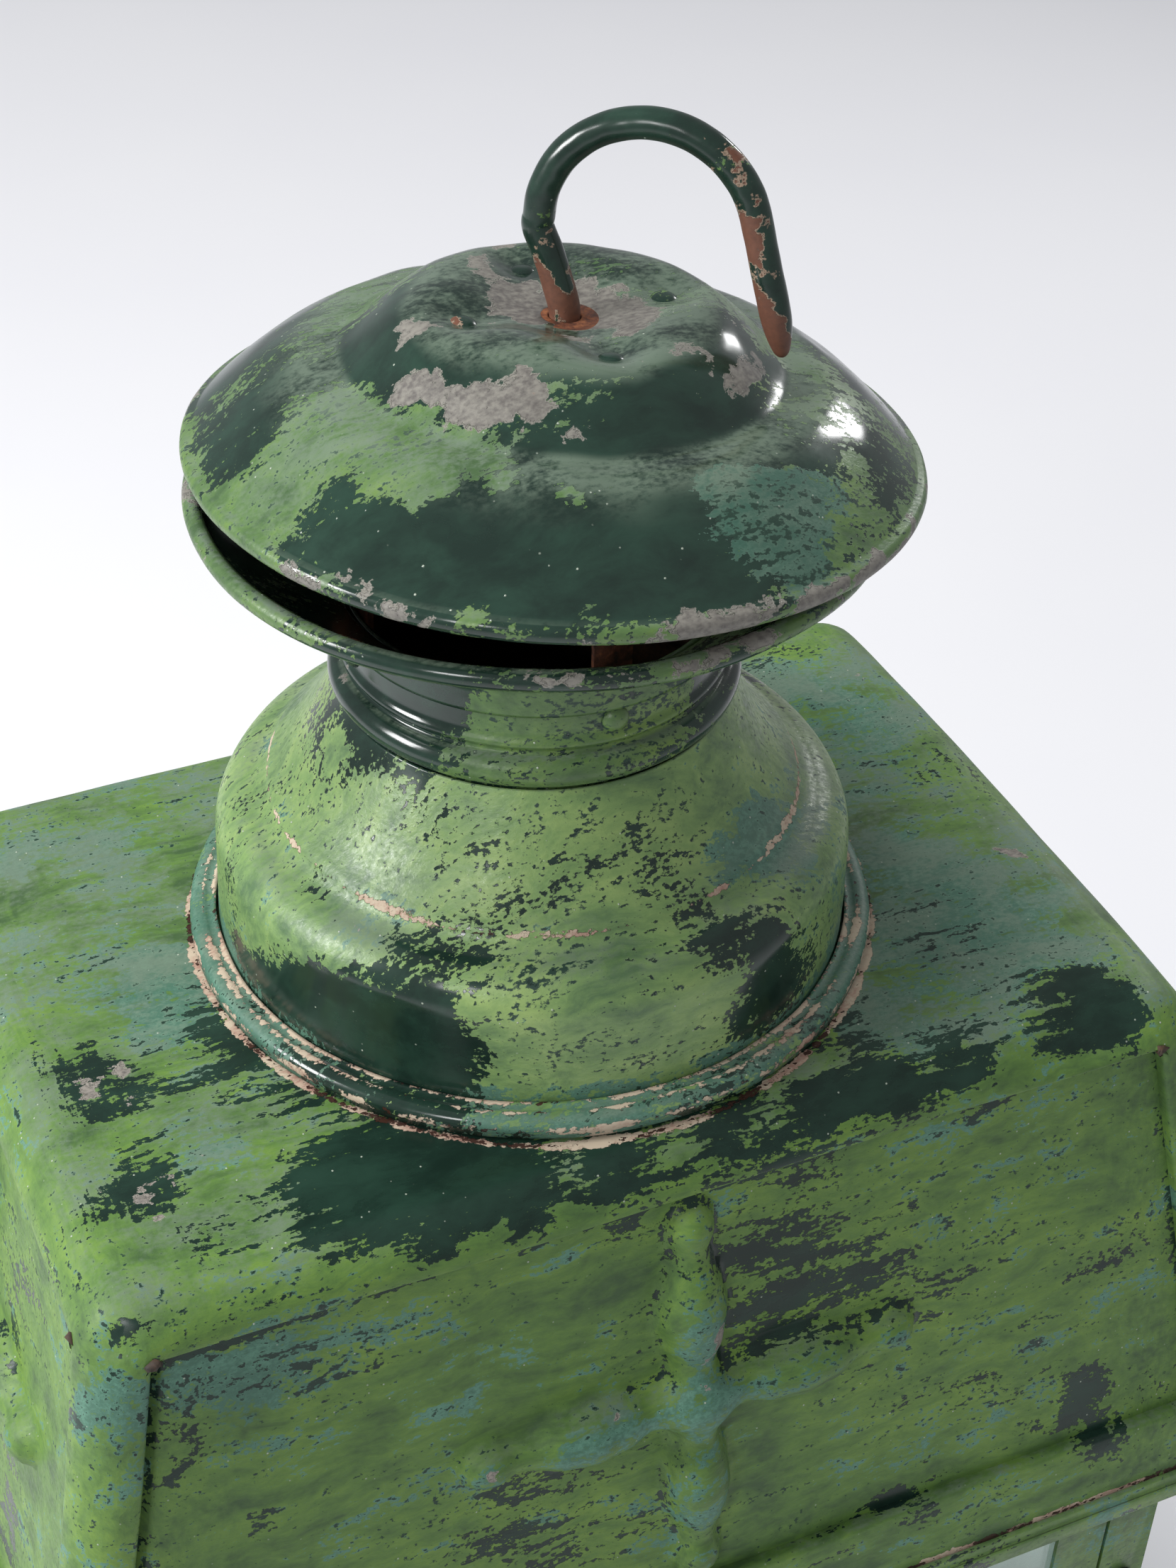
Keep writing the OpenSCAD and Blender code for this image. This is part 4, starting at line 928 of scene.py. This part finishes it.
def makePanel(side):
    foot = hoodHeight - hood["windowFoot"]
    top = hood["windowTop"]
    middle = slopeLength(side, (top + foot) / 2)
    tall = slopeLength(side, foot - top) + 2 * panel["lap"]
    wide = 2 * (windowHalf(side, foot) + panel["lap"])
    bm = bmesh.new()
    bmesh.ops.create_grid(bm, x_segments=round(wide / panel["grid"]), y_segments=round(tall / panel["grid"]), size=1)
    place = wallPlace(side)
    grimeAndPaintedShade = {}
    for v in bm.verts:
        down = slopeLength(side, top) - panel["lap"] + tall * (1 - v.co.y) / 2
        half = windowHalf(side, down) + panel["lap"]
        across = v.co.x * half
        press = max(barHeight(across, down - middle, cross["acrossReach"]),
                    barHeight(down - middle, across, cross["upReach"]))
        crevice = hump(press + 0.6, 1.3)
        press = softMax(press, 0.0, cross["soft"])
        spot = place @ (Vector((across, -down, 0)) * mm) / mm
        edge = half - abs(across)
        wave = 0.55 * unevenness(spot, 44, 1.2 + side) + 0.18 * unevenness(spot, 13, 4.0)
        wave *= smooth(0, 14, edge)
        depth = -panel["set"] + press + wave
        if side == 0:  # the left edge of the door side's panel has pulled away from its frame
            depth -= 2.6 * smooth(-half + 7.5, -half + 2.5, across)
        if side == 3:
            depth -= 1.5 * smooth(half - 8, half - 3, across)
        v.co = place @ (Vector((across, -down, depth)) * mm)
        # painted shade and highlight: the sheet darkens beside the frame and in the creases at the foot of the cross,
        # and the bar tops are rubbed to bare metal and turquoise, which also paints a highlight on them
        besideFrame = hump(min(edge, down - slopeLength(side, top) + 2.6), 4.8)
        rubbedAndHighlit = smooth(3.4, 5.6, press)
        grimeAndPaintedShade[tuple(round(c * 1e5) for c in v.co)] = (
            0.25 * besideFrame + 0.15 * crevice - 0.05 * rubbedAndHighlit, 0.11 * rubbedAndHighlit, 0.06 * crevice + 0.12 * rubbedAndHighlit)
    out = Matrix.Rotation(radians(90 * side), 3, "Z") @ Vector((0, -1, 0))
    faceOutwards(bm, lambda p: out)
    names = ("front", "right", "back", "left")
    piece = finishPiece(names[side] + "PressedPanel", bm, hoodPaint, "housing",
                        ["hood_panel_" + names[side]],
                        lean=lambda p: grimeAndPaintedShade.get(tuple(round(c * 1e2) for c in p), (0, 0, 0)))
    piece.data.materials.append(sootySheet)
    addSolidify(piece, panel["sheet"] * mm).material_offset = 1


makeHoodShell()
for side in range(4):
    makePanel(side)
print("hood made")


# ---- plain sheet and bar parts keep their CAD shape, with softened edges ----

softened = {
    # node: (material, body, slot, edge radius in millimetres)
    "base_pan": (bodyPaint, "housing", "green_paint", 0.5),
    "base_moulding": (bodyPaint, "housing", "green_paint", 1.0),
    "floor_plate": (dulledTinplate, "housing", "bare_tinplate", 0.3),
    "corner_post_front_left": (bodyPaint, "housing", "green_paint", 0.45),
    "corner_post_front_right": (bodyPaint, "housing", "green_paint", 0.45),
    "corner_post_back_right": (bodyPaint, "housing", "green_paint", 0.45),
    "corner_post_back_left": (bodyPaint, "housing", "green_paint", 0.45),
    "head_frame": (bodyPaint, "housing", "green_paint", 0.4),
    "eaves_band": (bodyPaint, "housing", "green_paint", 1.0),
    "cap_leg_front": (rustedIron, "housing", "bare_tinplate", 0.2),
    "cap_leg_right": (rustedIron, "housing", "bare_tinplate", 0.2),
    "cap_leg_back": (rustedIron, "housing", "bare_tinplate", 0.2),
    "cap_leg_left": (rustedIron, "housing", "bare_tinplate", 0.2),
    "hook_washer": (rustedIron, "hook", "rusted_iron", 0.25),
    "door_frame": (bodyPaint, "door", "green_paint", 0.5),
    "door_clips": (dulledTinplate, "door", "bare_tinplate", 0.2),
    "door_leaf_lower": (hookPaint, "door", "rusted_iron", 0.25),
    "door_leaf_upper": (hookPaint, "door", "rusted_iron", 0.25),
    "post_leaf_lower": (hookPaint, "housing", "rusted_iron", 0.25),
    "post_leaf_upper": (hookPaint, "housing", "rusted_iron", 0.25),
    "hinge_pins": (rustedIron, "housing", "rusted_iron", 0.2),
    "turn_button": (hookPaint, "turn_button", "green_paint", 0.35),
    "turn_button_rivet": (rustedIron, "housing", "rusted_iron", 0.15),
    "pane_left": (windowGlass, "housing", "window_glass", 0.3),
    "pane_right": (windowGlass, "housing", "window_glass", 0.3),
    "pane_back": (windowGlass, "housing", "window_glass", 0.3),
    "door_glass": (windowGlass, "door", "window_glass", 0.3),
    "drip_dish": (agedBrass, "candle", "aged_brass", 0.3),
    "candle_cup": (agedBrass, "candle", "aged_brass", 0.3),
}
nodeBody = {n: b for b, members in frame["record"]["behaviour"]["bodies"].items() for n in members}


def softenedCopy(node):
    material, body, slotName, radius = softened[node]
    bm = cleanCopy(node)
    piece = finishPiece(node + "Soft", bm, material, nodeBody[node], [node], flat=True)
    addBevel(piece, radius * mm, 2, 30)
    for face in piece.data.polygons:
        face.use_smooth = material is not windowGlass
    return piece


for node in softened:
    softenedCopy(node)
print("body made")


# ---- knob and candle ----

def makeKnob():
    lo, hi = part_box("door_knob")
    x, z = (lo.x + hi.x) / 2, (lo.z + hi.z) / 2
    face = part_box("door_frame")[0].y
    outline = [(0, 12.4), (1.8, 12.2), (3.4, 11.2), (4.6, 9.6), (5.0, 7.6), (4.7, 6.1), (3.6, 4.9), (2.4, 4.2),
               (2.2, 3.4), (2.3, 2.6), (3.0, 1.9), (3.6, 1.5), (4.8, 1.1), (5.1, 0.6), (5.0, 0.0), (2, 0), (2, -1.3),
               (3.5, -1.3), (3.4, -2.0), (0, -2.1)]
    bm = spinProfile(denser(outline, 0.35), 48)
    bmesh.ops.transform(bm, matrix=Matrix.Translation((x, face, z)) @ Matrix.Rotation(pi / 2, 4, "X"),
                        verts=bm.verts)
    finishPiece("turnedDoorKnob", bm, agedBrass, nodeBody["door_knob"], ["door_knob"])


candle = {"radius": 11.0, "pool": 2.4, "drips": 7}


def makeCandle():
    rng = random.Random(12)
    lo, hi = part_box("candle")
    r, tall = candle["radius"], (hi.z - lo.z) / mm
    outline = [(0, tall - 3.4), (3.2, tall - 3.2), (6.8, tall - 2.6), (8.9, tall - 1.2), (9.9, tall - 0.2),
               (10.6, tall - 0.5), (10.9, tall - 2.0), (10.8, tall - 6), (10.6, tall - 20), (10.6, 30), (10.6, 0.2),
               (10.2, 0.0), (0, 0)]
    bm = spinProfile(denser(outline, 1.6), 72)
    drips = [(rng.uniform(0, 2 * pi), rng.uniform(14, 62), rng.uniform(0.10, 0.20)) for _ in range(candle["drips"])]
    for v in bm.verts:
        p = v.co / mm
        reach = hypot(p.x, p.y)
        if reach > 8 and p.z > 31:
            turn = atan2(p.y, p.x)
            run = 0.0
            for at, length, width in drips:
                off = abs((turn - at + pi) % (2 * pi) - pi)
                fall = tall - p.z
                fat = hump(off, width * (1 + 0.5 * hump(fall - length, 4)))
                run = max(run, fat * smooth(length + 2.5, length - 1.5, fall) * (0.45 + 0.5 * hump(fall - length, 5)))
            p += Vector((p.x, p.y, 0)).normalized() * (run + 0.1 * unevenness(p, 9, 2.0))
            p.z += 0.7 * unevenness(p, 7, 3.0) * smooth(tall - 6, tall - 1, p.z)
        v.co = p * mm
    bmesh.ops.translate(bm, verts=bm.verts, vec=(0, 0, lo.z))
    finishPiece("meltedCandle", bm, candleWax, nodeBody["candle"], ["candle"])


def makeWick():
    lo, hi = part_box("wick")
    tall = (hi.z - lo.z) / mm
    bm = bmesh.new()
    for strand in range(3):
        path = []
        for k in range(25):
            t = k / 24
            turn = 2 * pi * (strand / 3 + 1.6 * t)
            path.append(Vector((0.34 * cos(turn), 0.34 * sin(turn), 0.2 + (tall - 0.4) * t)) * mm)
        joinInto(bm, sweepRod(path, [0.4 * mm] * 24 + [0.25 * mm], 8), Matrix.Translation((0, 0, lo.z)))
    finishPiece("twistedWick", bm, burntCotton, nodeBody["wick"], ["wick"])


makeKnob()
makeCandle()
makeWick()
print("candle made")


# ---- stage, lights and camera ----

stage = {"floor": "#e6e6e8", "size": 6.0, "world": "#eef0f4", "worldStrength": 0.44}
lights = {
    # name: where it stands, where it points, how wide and tall it is in metres, its power in watts, seen in gloss
    "overhead": ((-0.35, 0.32, 2.0), (0, 0, 0.36), (0.9, 0.8), 22, False),
    "leftSoftbox": ((-1.25, 0.10, 0.95), (0, 0, 0.38), (0.4, 0.5), 17, True),
    "rightStrip": ((1.30, 0.73, 0.88), (0, 0, 0.45), (0.18, 0.3), 3, True),
    "frontSpark": ((-0.92, -0.86, 1.11), (0, 0, 0.38), (0.24, 0.30), 4, True),
    "farWash": ((-0.5, 1.6, 1.25), (-0.3, 1.3, 0), (1.6, 0.8), 4, False),
}
camera = {"azimuth": -25.09, "elevation": 37.67, "roll": 1.907, "distance": 0.5446,
          "aimRight": 0.01163, "aimUp": 0.03175, "lens": 59.46}


def makeStage():
    bm = bmesh.new()
    bmesh.ops.create_grid(bm, x_segments=8, y_segments=8, size=stage["size"] / 2)
    mesh = bpy.data.meshes.new("studioFloor")
    bm.to_mesh(mesh)
    bm.free()
    floor = bpy.data.objects.new("studioFloor", mesh)
    bpy.context.scene.collection.objects.link(floor)
    material, tree, shader, place = newMaterial("paperFloor")
    fibre = addNode(tree, "TexNoise", {
        "Vector": addNode(tree, "Mapping", {"Vector": place, "Scale": grains(180)}), "Scale": 1, "Detail": 3})
    tone = addNode(tree, "Mix", {"Factor": fibre, "A": linearColour(stage["floor"]),
                                 "B": linearColour("#e2e2e6")}, data_type="RGBA")
    tree.links.new(tone.outputs["Result"], shader.inputs["Base Color"])
    shader.inputs["Roughness"].default_value = 0.9
    mesh.materials.append(material)
    world = bpy.data.worlds.new("studio")
    world.use_nodes = True
    sky = world.node_tree.nodes["Background"]
    sky.inputs["Color"].default_value = linearColour(stage["world"])
    sky.inputs["Strength"].default_value = stage["worldStrength"]
    bpy.context.scene.world = world
    bpy.context.scene.view_settings.view_transform = "Standard"


def makeLights():
    for name, (at, aim, size, power, gloss) in lights.items():
        data = bpy.data.lights.new(name, "AREA")
        data.shape = "RECTANGLE"
        data.size, data.size_y = size
        data.energy = power
        lamp = bpy.data.objects.new(name, data)
        bpy.context.scene.collection.objects.link(lamp)
        lamp.location = at
        lamp.visible_glossy = gloss
        lamp.rotation_euler = (Vector(aim) - Vector(at)).to_track_quat("-Z", "Y").to_euler()


def makeCamera():
    c = camera
    az, el = radians(c["azimuth"]), radians(c["elevation"])
    back = Vector((sin(az) * cos(el), -cos(az) * cos(el), sin(el)))
    right = Vector((cos(az), sin(az), 0))
    aim = Vector((0, 0, hoodTop + c["aimUp"])) + right * c["aimRight"]
    data = bpy.data.cameras.new("camera")
    data.lens = c["lens"]
    data.sensor_width = 36
    data.clip_start = 0.02
    eye = bpy.data.objects.new("camera", data)
    bpy.context.scene.collection.objects.link(eye)
    turn = Matrix((right, back.cross(right), back)).transposed()
    turn = Matrix.Rotation(radians(c["roll"]), 3, back) @ turn
    eye.matrix_world = Matrix.Translation(aim + back * c["distance"]) @ turn.to_4x4()
    bpy.context.scene.camera = eye


makeStage()
makeLights()
makeCamera()
print("stage made")
